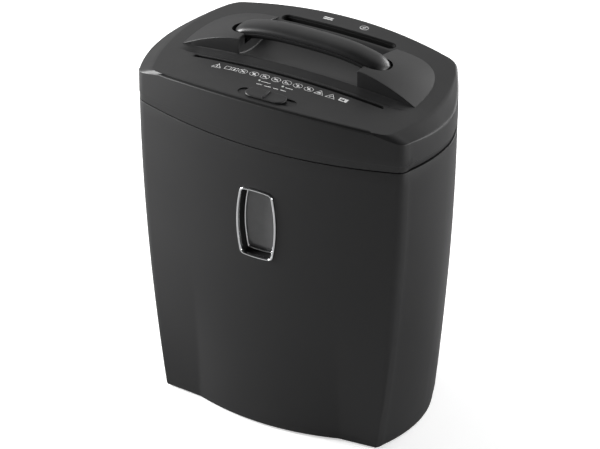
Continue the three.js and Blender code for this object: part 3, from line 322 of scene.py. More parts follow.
def brush_group():
    """Fine lines left by grinding or turning, running along X."""
    inputs = [("Vector", V, None), ("Length", F, 0.04)]
    t, i, o = group("ground_lines", inputs, [("Height", F), ("Streak", F)])
    stretch = node(t, "ShaderNodeCombineXYZ", {1: 1.0, 2: 1.0})
    t.links.new(i.outputs["Length"], stretch.inputs[0])
    long = node(t, "ShaderNodeVectorMath", operation="MULTIPLY")
    t.links.new(i.outputs["Vector"], long.inputs[0])
    t.links.new(stretch.outputs[0], long.inputs[1])
    lines = node(t, "ShaderNodeTexNoise", {"Scale": 1600.0, "Detail": 3.0, "Roughness": 0.6})
    t.links.new(long.outputs[0], lines.inputs["Vector"])
    patch = node(t, "ShaderNodeTexNoise", {"Scale": 45.0, "Detail": 4.0, "Roughness": 0.6})
    t.links.new(i.outputs["Vector"], patch.inputs["Vector"])
    t.links.new(lines.outputs["Fac"], o.inputs["Height"])
    t.links.new(patch.outputs["Fac"], o.inputs["Streak"])
    return t


GRAIN, WEAR, DUST, BRUSH = grain_group(), wear_group(), dust_group(), brush_group()


def use(t, tree, point, **values):
    made = t.nodes.new("ShaderNodeGroup")
    made.node_tree = tree
    for key, value in values.items():
        made.inputs[key].default_value = value
    t.links.new(point, made.inputs["Vector"])
    return made


def blank(name):
    made = bpy.data.materials.new(name)
    made.use_nodes = True
    t = made.node_tree
    shader = t.nodes["Principled BSDF"]
    point = t.nodes.new("ShaderNodeTexCoord").outputs["Object"]
    return made, t, shader, point


def tint(t, mask, low, high):
    mixed = node(t, "ShaderNodeMix", data_type="RGBA")
    t.links.new(mask, mixed.inputs[0])
    for socket, value in ((mixed.inputs[6], low), (mixed.inputs[7], high)):
        if hasattr(value, "links"):
            t.links.new(value, socket)
        else:
            socket.default_value = (*value, 1)
    return mixed.outputs[2]


def spread(t, value, low, high, start=0.3, end=0.7):
    limits = {"From Min": start, "From Max": end, "To Min": low, "To Max": high}
    ranged = node(t, "ShaderNodeMapRange", limits)
    t.links.new(value, ranged.inputs["Value"])
    return ranged.outputs["Result"]


def moulded(name, dark, light, rough, size=1.0, depth=0.00002, wear=0.3, dust=0.02, coat=0.0, ior=1.49):
    """Plastic or rubber from a grained mould, worn pale at its corners, with paper dust on top."""
    made, t, shader, point = blank(name)
    grain = use(t, GRAIN, point, Size=size)
    rubbed = use(t, WEAR, point, From=0.515, To=0.56)
    settled = use(t, DUST, point, Amount=dust)
    body = tint(t, spread(t, grain.outputs["Mottle"], 0, 1), dark, light)
    worn = tuple(min(1, c * 1.9 + 0.01) for c in light)
    strength = node(t, "ShaderNodeMath", {1: wear}, operation="MULTIPLY")
    t.links.new(rubbed.outputs["Mask"], strength.inputs[0])
    body = tint(t, strength.outputs[0], body, worn)
    body = tint(t, settled.outputs["Mask"], body, (0.34, 0.33, 0.32))
    t.links.new(body, shader.inputs["Base Color"])
    t.links.new(spread(t, grain.outputs["Mottle"], *rough), shader.inputs["Roughness"])
    relief = node(t, "ShaderNodeBump", {"Strength": 0.5, "Distance": depth})
    t.links.new(grain.outputs["Height"], relief.inputs["Height"])
    t.links.new(relief.outputs["Normal"], shader.inputs["Normal"])
    shader.inputs["IOR"].default_value = ior
    shader.inputs["Coat Weight"].default_value = coat
    return made


def metal(name, dark, light, rough, length=0.04, depth=0.00001, wear=0.3):
    made, t, shader, point = blank(name)
    lines = use(t, BRUSH, point, Length=length)
    rubbed = use(t, WEAR, point, From=0.52, To=0.6)
    body = tint(t, spread(t, lines.outputs["Streak"], 0, 1), dark, light)
    strength = node(t, "ShaderNodeMath", {1: wear}, operation="MULTIPLY")
    t.links.new(rubbed.outputs["Mask"], strength.inputs[0])
    body = tint(t, strength.outputs[0], body, tuple(min(1, c * 1.25) for c in light))
    t.links.new(body, shader.inputs["Base Color"])
    t.links.new(spread(t, lines.outputs["Height"], *rough), shader.inputs["Roughness"])
    relief = node(t, "ShaderNodeBump", {"Strength": 0.35, "Distance": depth})
    t.links.new(lines.outputs["Height"], relief.inputs["Height"])
    t.links.new(relief.outputs["Normal"], shader.inputs["Normal"])
    shader.inputs["Metallic"].default_value = 1.0
    return made


def smoked_pane():
    made, t, shader, point = blank("smoked_pane")
    grain = use(t, GRAIN, point, Size=2.0)
    wiped = node(t, "ShaderNodeTexNoise", {"Scale": 60.0, "Detail": 6.0, "Roughness": 0.7})
    t.links.new(point, wiped.inputs["Vector"])
    grey = tint(t, wiped.outputs["Fac"], (0.085, 0.086, 0.088), (0.13, 0.13, 0.132))
    t.links.new(grey, shader.inputs["Base Color"])
    t.links.new(spread(t, wiped.outputs["Fac"], 0.08, 0.24), shader.inputs["Roughness"])
    relief = node(t, "ShaderNodeBump", {"Strength": 0.08, "Distance": 0.00001})
    t.links.new(grain.outputs["Height"], relief.inputs["Height"])
    t.links.new(relief.outputs["Normal"], shader.inputs["Normal"])
    shader.inputs["Coat Weight"].default_value = 0.6
    return made


def printed_white():
    made, t, shader, point = blank("white_print")
    flaw = node(t, "ShaderNodeTexNoise", {"Scale": 900.0, "Detail": 4.0, "Roughness": 0.7})
    t.links.new(point, flaw.inputs["Vector"])
    ink = tint(t, flaw.outputs["Fac"], (0.7, 0.7, 0.7), (0.92, 0.92, 0.92))
    t.links.new(ink, shader.inputs["Base Color"])
    shader.inputs["Roughness"].default_value = 0.6
    return made


FINISH = {
    "charcoal_plastic": moulded(
        "charcoal_plastic", (0.0115, 0.0115, 0.012), (0.0145, 0.0145, 0.015), (0.44, 0.51)
    ),
    # black_plastic also lines the paper slot and the front joint, where its near-black is painted shade for
    # those hollows
    "black_plastic": moulded(
        "black_plastic", (0.004, 0.004, 0.0042), (0.007, 0.007, 0.007), (0.55, 0.65), dust=0.0, ior=1.25
    ),
    "soft_rubber": moulded(
        "soft_rubber", (0.01, 0.01, 0.0105), (0.013, 0.013, 0.0135), (0.34, 0.42), size=0.7, dust=0.03
    ),
    "plated_trim": metal(
        "plated_trim", (0.78, 0.79, 0.8), (0.88, 0.89, 0.9), (0.05, 0.12),
        length=0.5, depth=0.000002, wear=0.1,
    ),
    "smoked_pane": smoked_pane(),
    "nylon": moulded(
        "nylon", (0.6, 0.57, 0.47), (0.7, 0.67, 0.58), (0.4, 0.55), size=1.6, wear=0.1, dust=0.1
    ),
    "clear_plastic": moulded(
        "clear_plastic", (0.62, 0.66, 0.63), (0.75, 0.78, 0.75), (0.08, 0.16),
        depth=0.000004, wear=0, dust=0, coat=0.5,
    ),
    "circuit_board": moulded(
        "circuit_board", (0.02, 0.11, 0.04), (0.035, 0.17, 0.07), (0.25, 0.4),
        size=2.5, wear=0.1, coat=0.3,
    ),
    "brass": metal("brass", (0.6, 0.42, 0.18), (0.72, 0.53, 0.25), (0.2, 0.34), length=1.0),
    "steel": metal("steel", (0.42, 0.43, 0.44), (0.58, 0.59, 0.6), (0.24, 0.4)),
}
WHITE_PRINT = printed_white()
for part in frame["record"]["subparts"]:
    target = frame["nodes"][part["node"]]
    target.data.materials.clear()
    target.data.materials.append(FINISH[part["material_slot"]])


# ---------- bin ----------
def bin_ring(z, inset):
    """The bin's outline at height z: it narrows towards the foot and its front swells there."""
    x, y = HEAD_PLAN[:, 0], HEAD_PLAN[:, 1]
    down = np.clip((370 - z) / 370, 0, 1) ** 1.9
    belly = 1 - smooth(z, 0, 200)
    share = np.minimum(1, np.abs(x) / CORNER_X)
    x = x - np.sign(x) * (28 - 5 * np.clip(y / 60, 0, 1)) * down * share
    wing = CORNER_Y - 4 + 4 * (np.abs(x) - 85) / 45
    swell = FRONT_Y + 6 + (CORNER_Y - 10 - FRONT_Y) * (x / 85) ** 2
    low = np.where(np.abs(x) < 85, swell, wing)
    front = np.clip((CORNER_Y + 20 - y) / 18, 0, 1)
    y = y + np.maximum(0, belly * front * (low - y))
    return shrink(np.column_stack([x, y]), inset)


def outline(inset, steps=10):
    """The window's barrel-shaped outline in (x, z)."""
    x, z = WIN_X, WIN_Z
    w, c, h, r = WIN_HALF - inset, WIN_CORNER - inset, WIN_HIGH / 2 - inset, max(1, WIN_ROUND - inset)
    path = [
        (x - c + r, z - h), (x, z - h - WIN_BOW), (x + c - r, z - h), (x + c, z - h),
        (x + c + r * 0.12, z - h + r),
        (x + 2 * w - c, z), (x + c + r * 0.12, z + h - r), (x + c, z + h), (x + c - r, z + h),
        (x, z + h + WIN_BOW), (x - c + r, z + h), (x - c, z + h), (x - c - r * 0.12, z + h - r),
        (x - 2 * w + c, z), (x - c - r * 0.12, z - h + r), (x - c, z - h), (x - c + r, z - h),
    ]
    return np.vstack([bend(path[k], path[k + 1], path[k + 2], steps)[:-1] for k in range(0, 16, 2)])


def window_row(y, inset):
    ring = outline(inset)
    return np.column_stack([ring[:, 0], np.full(len(ring), y), ring[:, 1]])


def make_bin():
    top = seam(HEAD_PLAN[:, 0])
    levels = [12, 22, 35, 50, 65, 85, 105, 125, 145, 165, 185, 205, 235, 270, 305, 335]
    rows = [pole(HEAD_PLAN, 0, 0, 2)]
    for inset, z in ((8, 2), (1.9, 2), (1.1, 2.2), (0.55, 2.8), (0.3, 4)):
        rows.append(at(bin_ring(z, inset), z))
    rows += [at(bin_ring(z, 0.3), z) for z in levels]
    for inset, drop in ((0.3, 0.7), (0.4, 0.25), (0.7, 0), (WALL, 0), (WALL + 0.3, 0.4)):
        rows.append(at(bin_ring(SEAM, inset), top - drop))
    rows += [at(bin_ring(z, WALL + 0.3), z) for z in levels[::-1][::2]]
    rows += [at(bin_ring(4.8, WALL + 1.2), 4.8), pole(HEAD_PLAN, 0, 0, 4.8)]
    shell = loft("bin_moulding", rows)
    carve(shell, loft("hole", [window_row(FACE - 8, -0.3), window_row(FACE + 8, -0.3)]))
    soften(shell, 28)
    return fitted(shell, "bin", "charcoal_plastic", "bin_shell")


def ring_piece(name, section):
    """A piece that follows the window's outline; section is a closed list of (y, inset)."""
    return loft(name, [window_row(y, inset) for y, inset in section + section[:1]])


def make_window():
    back = FACE + 9
    turn = np.linspace(0, math.pi, 11)
    flat = lambda v, power: math.copysign(abs(v) ** power, v)
    bright = [(FACE + 0.2 - 2.3 * flat(math.sin(a), 0.7), 1.32 - 1.27 * flat(math.cos(a), 0.8)) for a in turn]
    bezel = ring_piece("window_trim", bright + [(FACE + 1.5, 2.55), (FACE + 1.5, 0.08)])
    soften(bezel, 50)
    fitted(bezel, "bin", "plated_trim", "window_bezel")
    walls = [(FACE + 1.9, 0.1), (FACE + 1.9, 2.6), (FACE + 2.3, 2.95), (back - 2.2, 5.5), (back - 2.2, 4.2)]
    tunnel = ring_piece("window_tunnel", walls + [(back + 2, 4.2), (back + 2, 0.1)])
    soften(tunnel)
    fitted(tunnel, "bin", "black_plastic", "window_frame")
    thin = [(back - 1.2 - 0.75 * math.sin(a), 5.4 - 1.0 * math.cos(a)) for a in turn[::2]]
    rim = ring_piece("pane_rim", thin + [(back - 0.45, 6.4), (back - 0.45, 4.4)])
    soften(rim, 50)
    fitted(rim, "bin", "plated_trim", "window_inner_rim")
    like = window_row(0, 5)
    rows = [pole(like, WIN_X, back - 0.12, WIN_Z)]
    rows += [window_row(back - 0.1, k) for k in (14, 8, 5)] + [window_row(back + 0.1, 4.6)]
    rows += [window_row(back + 1.5, 4.6), window_row(back + 1.5, 14), pole(like, WIN_X, back + 1.5, WIN_Z)]
    pane = loft("window_glass", rows)
    soften(pane)
    fitted(pane, "bin", "smoked_pane", "window_pane")


def make_feet():
    for name, (x, y) in FEET.items():
        a = np.linspace(0, 2 * math.pi, 41)[:-1]
        ring = lambda r: np.column_stack([x + r * np.cos(a), y + r * np.sin(a)])
        section = [(0.01, 0.5), (5.4, 0.5), (6, 0), (8.1, 0), (8.8, 0.5)]
        section += [(9, 1.2), (9, 3.6), (8.7, 4), (0.01, 4)]
        foot = loft("foot_pad_" + name, [at(ring(r), z) for r, z in section])
        soften(foot)
        fitted(foot, "bin", "soft_rubber", "foot_" + name)


# ---------- head ----------
def head_edge():
    """Returns ledge(inset, drop), a ring that far in from the head's outline, and how wide its bands are."""
    across = EDGE_PLAN - HEAD_PLAN
    wide = np.linalg.norm(across, axis=1)
    inward = shrink(HEAD_PLAN, 1.0) - HEAD_PLAN
    ahead = np.clip((-80 - HEAD_PLAN[:, 1]) / 8, 0, 1)
    r = 2.0 - 1.4 * smooth(-HEAD_PLAN[:, 1], 40, 78)
    blend = np.clip(wide / 6, 0, 1)[:, None]
    towards = across / np.maximum(wide, 1e-6)[:, None] * blend + inward * (1 - blend)
    towards /= np.linalg.norm(towards, axis=1)[:, None]
    full = np.maximum(wide, r + 0.6 + 3.4 * ahead)
    edge = HEAD_PLAN + towards * full[:, None]
    rim = crown(edge[:, 0]) - SHOULDER_SLOPE * full

    def ledge(inset, drop=0.0):
        return at(HEAD_PLAN + towards * np.reshape(inset, (-1, 1)), rim + SHOULDER_SLOPE * inset - drop)

    groove = ahead * np.clip((9 - full) / 4, 0, 1)
    return ledge, r, full, groove, edge


def head_block():
    banded = shrink(HEAD_PLAN, LIP_IN * np.clip((HEAD_PLAN[:, 1] - CORNER_Y) / 12, 0.25, 1))
    low = seam(HEAD_PLAN[:, 0]) + SEAM_GAP
    ledge, r, full, dug, edge = head_edge()
    rows = [pole(HEAD_PLAN, 0, 0, SEAM - SEAM_DIP + SEAM_GAP)]
    rows += [at(shrink(banded, 6), low), at(shrink(banded, 0.5), low)]
    rows += [at(shrink(banded, 0.15), low + 0.12), at(banded, low + 0.5), at(banded, LIP_TOP - 1.9)]
    for inner, outer, below in ((0.8, 0.2, 1.4), (0.2, 0.8, 0.5)):
        rows.append(at(banded * inner + HEAD_PLAN * outer, LIP_TOP - below))
    rows += [at(HEAD_PLAN, LIP_TOP), at(HEAD_PLAN, LIP_TOP + 8)]
    for k in range(7):
        a = k / 6 * math.pi / 2
        rows.append(ledge(r * (1 - math.cos(a)), r * (1 - math.sin(a))))
    for share, groove in ((0.1, 0), (0.13, 2.0), (0.3, 2.3), (0.5, 2.3), (0.68, 2.0), (0.72, 0)):
        rows.append(ledge(r + (full - r) * share, groove * dug))
    rows.append(ledge(full, 0.05 * (1 - dug)))
    for scale in (0.994, 0.98, 0.95, 0.9, 0.84, 0.76, 0.68, 0.6, 0.5, 0.4, 0.28, 0.15):
        ring = edge * scale
        rows.append(at(ring, crown(ring[:, 0])))
    rows.append(pole(HEAD_PLAN, 0, 0, TOP))
    return loft("head_moulding", rows)


def hump(side):
    """One of the two round-backed swellings beside the handle."""
    ease = np.sin(np.linspace(0, 1, 34) * math.pi / 2)
    xs = np.concatenate([[0, 0.12, 0.3, 0.55, 0.9, 1.3, 1.8], 1.8 + ease[1:] * (HUMP_LONG - 2.0)])
    rows = []
    for dx in xs:
        t = dx / HUMP_LONG
        reach = max(HUMP_BACK * np.cbrt(max(1e-5, 1 - t**3)), 2.2)
        near = np.array([0, 0.12, 0.3, 0.55, 0.9, 1.3, 1.8])
        far = 1.8 + np.sin(np.linspace(0, 1, 36) * math.pi / 2)[1:] * (reach - 1.8)
        dy = np.concatenate([near, far])
        r = np.cbrt(t**3 + (dy / HUMP_BACK) ** 3)
        high = HUMP_HIGH * np.maximum(0, 1 - r**1.65)
        high -= fillet(np.minimum(dx, dy), 0.9) * np.clip(high / 4, 0, 1)
        x = HUMP_IN + dx
        z = crown(x) + high
        ring = [(side * x, HUMP_Y + b, c) for b, c in zip(dy, z)]
        ring += [(side * x, HUMP_Y + dy[-1], 386), (side * x, HUMP_Y, 386)]
        rows.append(ring)
    return loft("hump", rows)


def trough(name, xs, ys, floor):
    """A cutter that reaches down to floor(x, y)."""
    rows = []
    for x in xs:
        ring = [(x, y, z) for y, z in zip(ys, floor(x, ys))]
        rows.append(ring + [(x, ys[-1], ABOVE), (x, ys[0], ABOVE)])
    return loft(name, rows)


def valley_floor(x, y):
    """The sunk strip behind the paper slot."""
    far = HUMP_IN + HUMP_LONG - 2
    side = 1 - smooth(abs(x), SLOT_LONG / 2, far)
    bead = LIP_DROP + (VALLEY_DEEP - LIP_DROP) * smooth(y, SLOT_BACK + 2.2, SLOT_BACK + VALLEY_FOOT + 0.5)
    slope = VALLEY_RISE * np.maximum(HUMP_Y - y, 0)
    run = -0.25 * np.log(np.exp(-bead / 0.25) + np.exp(-slope / 0.25))
    past = smooth(abs(x), SLOT_LONG / 2 - 1, SLOT_LONG / 2 + 3)
    front = smooth(y, SLOT_FRONT, SLOT_BACK + 5)
    deep = run * side * (1 - past + past * front)
    beyond = np.maximum(abs(x) - (SLOT_LONG - SLOT_WIDE) / 2, 0)
    away = np.hypot(beyond, y - SLOT_Y) - SLOT_WIDE / 2
    lip = fillet(away, 0.6)
    cove = fillet(HUMP_Y - y, 1.3) * smooth(abs(x), HUMP_IN, HUMP_IN + 1)
    return crown(x) - deep - np.where(abs(x) < SLOT_LONG / 2 + 1.5, lip, 0) + cove * side - 0.004


def scoop_floor(x, y):
    """The hand hollow under the handle."""
    middle, half = (HUMP_Y + SCOOP_END) / 2, (SCOOP_END - HUMP_Y) / 2
    rise = VALLEY_RISE
    fall = 2 * SCOOP_DEEP / half
    b = 1.6
    u = y - (HUMP_Y - b)
    blend = -rise * b + rise * u - (rise + fall) / (4 * b) * u * u
    bowl = -SCOOP_DEEP * (1 - ((y - middle) / half) ** 2)
    along = smooth(y, HUMP_Y, HUMP_Y + 3) * (1 - smooth(y, SCOOP_END - 4, SCOOP_END))
    cove = fillet(HUMP_IN - abs(x), 1.8) * along
    return crown(x) + np.where(u < 2 * b, blend, bowl) + cove


def make_head():
    head = head_block()
    for side in (1, -1):
        carve(head, hump(side), "UNION")
    spans = ((-140, -116, 12), (-115, -109, 14), (-108, -71, 12))
    xs = np.concatenate([np.linspace(*span) for span in spans])
    xs = np.concatenate([xs, [-70.6, -70.2], np.linspace(-68, 68, 30), [70.2, 70.6], -xs[::-1]])
    lips = [0, 0.06, 0.15, 0.3, 0.45, 0.6, 1.2, 2.2, 2.8, 3.4, 4, 4.6, 5.1, 5.6, 6.1, 6.6, 7.2]
    lips = SLOT_BACK + np.array(lips)
    coves = HUMP_Y - np.array([1.3, 0.9, 0.6, 0.35, 0.15, 0.05, -0.02])
    ys = np.concatenate([np.linspace(SLOT_FRONT, SLOT_BACK, 7)[:-1], lips, np.linspace(-27, -21, 5), coves])
    carve(head, trough("valley", xs, ys, valley_floor))
    side = HUMP_IN + 0.02 - np.array([0, 0.05, 0.2, 0.45, 0.8, 1.25, 1.8, 3.5])
    xs = np.concatenate([-side, np.linspace(-64, 64, 33), side[::-1]])
    ys = np.concatenate([HUMP_Y + np.linspace(-1.6, 1.6, 9), np.linspace(-15, SCOOP_END, 30), [64, 68, 72]])
    carve(head, trough("scoop", xs, ys, scoop_floor))
    slot = stadium(-SLOT_LONG / 2, SLOT_LONG / 2, SLOT_Y, SLOT_WIDE)
    carve(head, column("slot", slot, INNER_ROOF, CLEAR))
    disc = stadium(-DISC_LONG / 2, DISC_LONG / 2, DISC_Y, DISC_WIDE)
    carve(head, column("disc", disc, INNER_ROOF, CLEAR))
    recess = stadium(SWITCH_LEFT, SWITCH_RIGHT, SWITCH_Y, SWITCH_WIDE)
    carve(head, column("recess", recess, TOP - RECESS_DEEP, CLEAR))
    low, high = SWITCH_Y - STEM_ROOM, SWITCH_Y + STEM_ROOM
    carve(head, brick("stem", STEM_LEFT, STEM_RIGHT, low, high, INNER_ROOF, CLEAR))
    for side in (1, -1):
        rows = []
        deep, notch = HUMP_IN + WALL, HUMP_IN - 6
        steps = ((deep, POCKET_FLOOR), (deep, NOTCH_FLOOR), (notch, NOTCH_FLOOR + 0.1), (notch, ABOVE))
        for inner, z in steps:
            r = HANDLE_DEEP + POCKET_GAP
            a = np.linspace(-math.pi / 2, math.pi / 2, 33)
            x = side * (HANDLE_HALF + POCKET_GAP - r + r * np.cos(a))
            arc = np.column_stack([x, HANDLE_Y + r * np.sin(a)])
            ends = np.array([[side * inner, HANDLE_Y + r], [side * inner, HANDLE_Y - r]])
            rows.append(at(np.vstack([arc, ends]), z))
        carve(head, loft("pocket", rows))
    for x in LAMP_EYES:
        a = np.linspace(0, 2 * math.pi, 25)[:-1]
        eye = np.column_stack([x + EYE_R * np.cos(a), EYE_Y + EYE_R * np.sin(a)])
        carve(head, column("eye", eye, INNER_ROOF, CLEAR))
    inside = shrink(HEAD_PLAN, WALL)[::3]
    rise = shrink(EDGE_PLAN, 6)[::3]
    rows = [at(inside, 340), at(inside, 379), at(rise, 387.5)]
    carve(head, loft("hollow", rows))
    carve(head, brick("chute_room", -116, 116, SLOT_Y - 6, SLOT_Y + 10, INNER_ROOF, 391.4))
    carve(head, brick("switch_room", -22, 26, SWITCH_Y - 8, SWITCH_Y + 8, INNER_ROOF, TOP - 9))
    soften(head, 30)
    return fitted(head, "head", "charcoal_plastic", "head_cover")


def handle_half(name, start, end, high, lift, narrower, square):
    """The pad is the upper half of the handle's section and the bar is the lower half."""
    rows = []
    for k in range(65):
        x = -HANDLE_HALF * math.cos(math.pi * k / 64)
        near = min(1, max(0, (abs(x) - (HANDLE_HALF - 15)) / 15))
        fade = math.sqrt(max(0, 1 - near * near))
        z = HANDLE_Z - 8 * (abs(x) / 75) ** 3 + lift
        a = np.linspace(start, end, 29)
        c, s = np.cos(a), np.sin(a)
        y = (HANDLE_DEEP - narrower) * fade * np.sign(c) * np.abs(c) ** square
        up = high * fade * np.sign(s) * np.abs(s) ** square
        rows.append(np.column_stack([np.full(29, x), HANDLE_Y + y, z + up]))
    return loft(name, rows)


def make_handle():
    grip = handle_half("handle_pad", 0, math.pi, 7.2, 0.15, 1.7, 0.86)
    soften(grip, 40)
    fitted(grip, "head", "soft_rubber", "handle_grip")
    rail = handle_half("handle_bar", math.pi, 2 * math.pi, 8, -0.15, 0, 0.7)
    for side in (1, -1):
        x0, x1 = side * LEG_X - LEG_HALF, side * LEG_X + LEG_HALF
        leg = brick("leg", x0, x1, HANDLE_Y - LEG_DEEP, HANDLE_Y + LEG_DEEP, LEG_FOOT, LEG_TOP)
        carve(rail, leg, "UNION")
    soften(rail, 40)
    fitted(rail, "head", "charcoal_plastic", "handle_rail")


def make_disc_rim():
    section = [(0.3, 6), (0.3, 0.7), (0.45, 0.42), (0.7, 0.32), (1.1, 0.32), (1.35, 0.5), (1.45, 0.8)]
    section += [(1.45, 1.9), (1.6, 2.1), (2.0, 2.15), (2.2, 2.4), (2.25, 12), (1.0, 12)]
    rows = []
    for inset, drop in section + section[:1]:
        ring = stadium(-DISC_LONG / 2, DISC_LONG / 2, DISC_Y, DISC_WIDE, inset)
        rows.append(at(ring, crown(ring[:, 0]) - drop))
    rim = loft("disc_rim", rows)
    soften(rim)
    fitted(rim, "head", "black_plastic", "disc_slot_bezel")


def make_gap_shade_strip():
    """A black strip sunk just under the lips of the groove behind the head's front edge: painted shade that
    makes the joint read dark.
    """
    ledge, r, full, dug, edge = head_edge()
    span = full - r
    section = ((0.15, 0.3), (0.68, 0.3), (0.62, 2.1), (0.18, 2.1))
    corners = [ledge(r + span * share, drop) for share, drop in section]
    run = np.argsort(HEAD_PLAN[:, 0])
    run = [i for i in run if dug[i] > 0.3]
    # painted shade: this black strip stands in for the shade deep inside the front joint
    strip = loft("front_gap_shade_strip", [[c[i] for c in corners] for i in run])
    soften(strip)
    fitted(strip, "head", "black_plastic")


def make_slot_shade_lining():
    """The black lining just inside the paper slot: painted shade that makes the slot read dark where its own
    depth shades it.
    """
    rows = []
    for inset, drop in ((-0.05, 1.15), (0.3, 1.15), (0.42, 1.3), (0.45, 12), (-0.05, 12), (-0.05, 1.15)):
        ring = stadium(-SLOT_LONG / 2, SLOT_LONG / 2, SLOT_Y, SLOT_WIDE, inset)
        rows.append(at(ring, crown(ring[:, 0]) - drop))
    # painted shade: the black lining stands in for the shade down in the slot
    lining = loft("slot_shade_lining", rows)
    soften(lining)
    fitted(lining, "head", "black_plastic")


def make_knob():
    section = [(1.0, 0.3), (0.3, 0.35), (0.05, 0.7), (0, 1.2), (0.15, 1.7), (0.5, 2.05), (1.1, 2.2)]
    section.append((2.4, 2.22))
    points = lambda inset: stadium(KNOB_LEFT, KNOB_RIGHT, SWITCH_Y, KNOB_WIDE, inset)
    rows = [pole(points(0), KNOB_X, SWITCH_Y, TOP + 0.3)]
    rows += [at(points(inset), TOP + up) for inset, up in section]
    rows += [at(points(6), TOP + 2.15), pole(points(0), KNOB_X, SWITCH_Y, TOP + 2.1)]
    cap = loft("switch_knob", rows)
    ridge = []
    for y, high in ((-8, 2.0), (-7.6, 3.4), (-6.8, 3.75), (6.8, 3.75), (7.6, 3.4), (8, 2.0)):
        section = [(-1.5, 1.2), (1.5, 1.2), (1.5, high - 0.4), (1.1, high), (-1.1, high), (-1.5, high - 0.4)]
        ridge.append([(KNOB_X + dx, SWITCH_Y + y, TOP + up) for dx, up in section])
    carve(cap, loft("ridge", ridge), "UNION")
    low, high = SWITCH_Y - STEM_DEEP, SWITCH_Y + STEM_DEEP
    carve(cap, brick("stem", -STEM_HALF, STEM_HALF, low, high, STEM_FOOT, TOP + 1), "UNION")
    soften(cap, 35)
    fitted(cap, "knob", "charcoal_plastic", "function_knob")


# ---------- printed signs ----------
def stroke(points, wide=0.7, closed=False):
    """A line of the given width through the points, as four-sided pieces."""
    points = np.array(points, float)
    if closed:
        points = np.vstack([points, points[:1]])
    quads = []
    for a, b in zip(points[:-1], points[1:]):
        along = (b - a) / np.linalg.norm(b - a)
        out = np.array([-along[1], along[0]]) * wide / 2
        tip = along * wide * 0.3
        quads.append([a - tip - out, b + tip - out, b + tip + out, a - tip + out])
    return quads


def circle(r, steps=20):
    a = np.linspace(0, 2 * math.pi, steps + 1)[:-1]
    return np.column_stack([r * np.cos(a), r * np.sin(a)])


def filled(points):
    return [np.array(points, float)]


GLYPHS = [
    stroke([(-2.2, -1.2), (2.2, 1.4)], 1.0) + stroke([(-2, 1.4), (1, -1.6)]),
    filled([(-1.6, -1.8), (1.6, -1.8), (1.9, 1.2), (-1.2, 1.9)]),
    stroke([(-2, -1.4), (0, 1.8), (2, -1.4)], 0.8),
    filled([(-2.2, -0.7), (2.2, -0.7), (2.2, 0.8), (-2.2, 0.8)]),
    stroke([(-1.8, 1.5), (-1.8, -1.5), (1.8, -1.5)], 0.8),
    stroke([(0, -2.1), (0, 2.1)], 1.1) + stroke([(-1.6, 0.6), (1.6, 0.6)], 0.6),
    filled([(-1.9, -0.9), (0, -2), (1.9, -0.9), (1.4, 1.5), (-1.4, 1.5)]),
]
TRIANGLE = [(-5.2, -3.6), (5.2, -3.6), (0, 4.2)]


def bar(x0, y0, x1, y1):
    return filled([(x0, y0), (x1, y0), (x1, y1), (x0, y1)])


def page(x0, y0, x1, y1):
    return stroke([(x0, y0), (x1, y0), (x1, y1), (x0, y1)], 0.5, True)


def oval(r, flat, wide):
    return stroke(circle(r) * [1, flat], wide, True)


def signs():
    """Each sign's middle in (x, y) and its shapes."""
    warning = stroke(TRIANGLE, 0.6, True)
    struck = stroke([(-3.6, 2.8), (3.6, -2.8)], 0.6)
    mark = stroke([(0, -0.8), (0, 1.9)], 0.9) + stroke([(0, -2.1), (0, -1.9)], 0.9)
    rows = [(-78.1, -50.4, warning + mark)]
    person = filled([(2.8, -2), (4.8, -2), (4.4, 1.8), (3.2, 1.8)])
    rows.append((-61.2, -50.4, page(-7.4, -2.9, -1, 2.9) + page(0.6, -2.9, 7, 2.9) + person))
    for x, glyph in zip((-47.5, -34.2, -21.5, -8.0, 4.9, 17.7, 30.7), GLYPHS):
        rows.append((x, -50.3, oval(5.1, 0.78, 0.5) + struck + glyph))
    rows.append((43.5, -50.3, warning + filled([(-2.6, -2), (2.6, -2), (0.4, 1.2)])))
    rows.append((57.0, -50.2, warning + stroke([(-1.6, -1.4), (1.2, 0.6)], 0.9)))
    block = bar(-4.8, -3, 4.8, -1.9) + bar(-4.8, 1.4, 4.8, 3.1)
    block += bar(-4.8, -1.9, -3.2, 1.4) + bar(1.4, -1.9, 4.8, 1.4)
    rows.append((71.2, -50.1, block + stroke([(-2.2, -1.6), (-0.6, 1.0)], 0.7)))
    rows.append((-21.3, 88.3, bar(-5.4, -2.2, 5.4, -0.4) + bar(-5.4, 0.7, 5.4, 2.6)))
    disc = oval(4.6, 0.85, 0.7) + oval(1.3, 1, 0.6) + stroke([(-3, -2.7), (3, 2.7)], 0.6)
    rows.append((21.5, 88.9, disc))
    dashes = ((-14.6, -60.4, 10), (12.6, -60.0, 8), (-19.2, -66.6, 6))
    dashes += ((-9.2, -66.9, 7), (0.6, -66.9, 5), (9.4, -66.6, 5.5))
    for x, y, long in dashes:
        first = stroke([(-long / 2, 0), (-long / 2 + long * 0.45, 0)], 1.0)
        rows.append((x, y, first + stroke([(long * 0.05, 0), (long / 2, 0)], 1.0)))
    return rows


def make_signs():
    corners, faces = [], []
    for x, y, shapes in signs():
        for shape in shapes:
            first = len(corners)
            for px, py in shape:
                corners.append(((x + px) * MM, (y + py) * MM, (float(crown(x + px)) + INK_UP) * MM))
            faces.append(range(first, first + len(shape)))
    mesh = bpy.data.meshes.new("printed_signs")
    mesh.from_pydata(corners, [], [list(f) for f in faces])
    print_layer = bpy.data.objects.new("printed_signs", mesh)
    bpy.context.collection.objects.link(print_layer)
    only(print_layer)
    bpy.ops.object.mode_set(mode="EDIT")
    bpy.ops.mesh.select_all(action="SELECT")
    bpy.ops.mesh.normals_make_consistent(inside=False)
    bpy.ops.object.mode_set(mode="OBJECT")
    thick = print_layer.modifiers.new("ink", "SOLIDIFY")
    thick.thickness = INK_THICK * MM
    thick.offset = -1
    bpy.ops.object.modifier_apply(modifier=thick.name)
    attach(print_layer, "head")
    print_layer.data.materials.append(WHITE_PRINT)


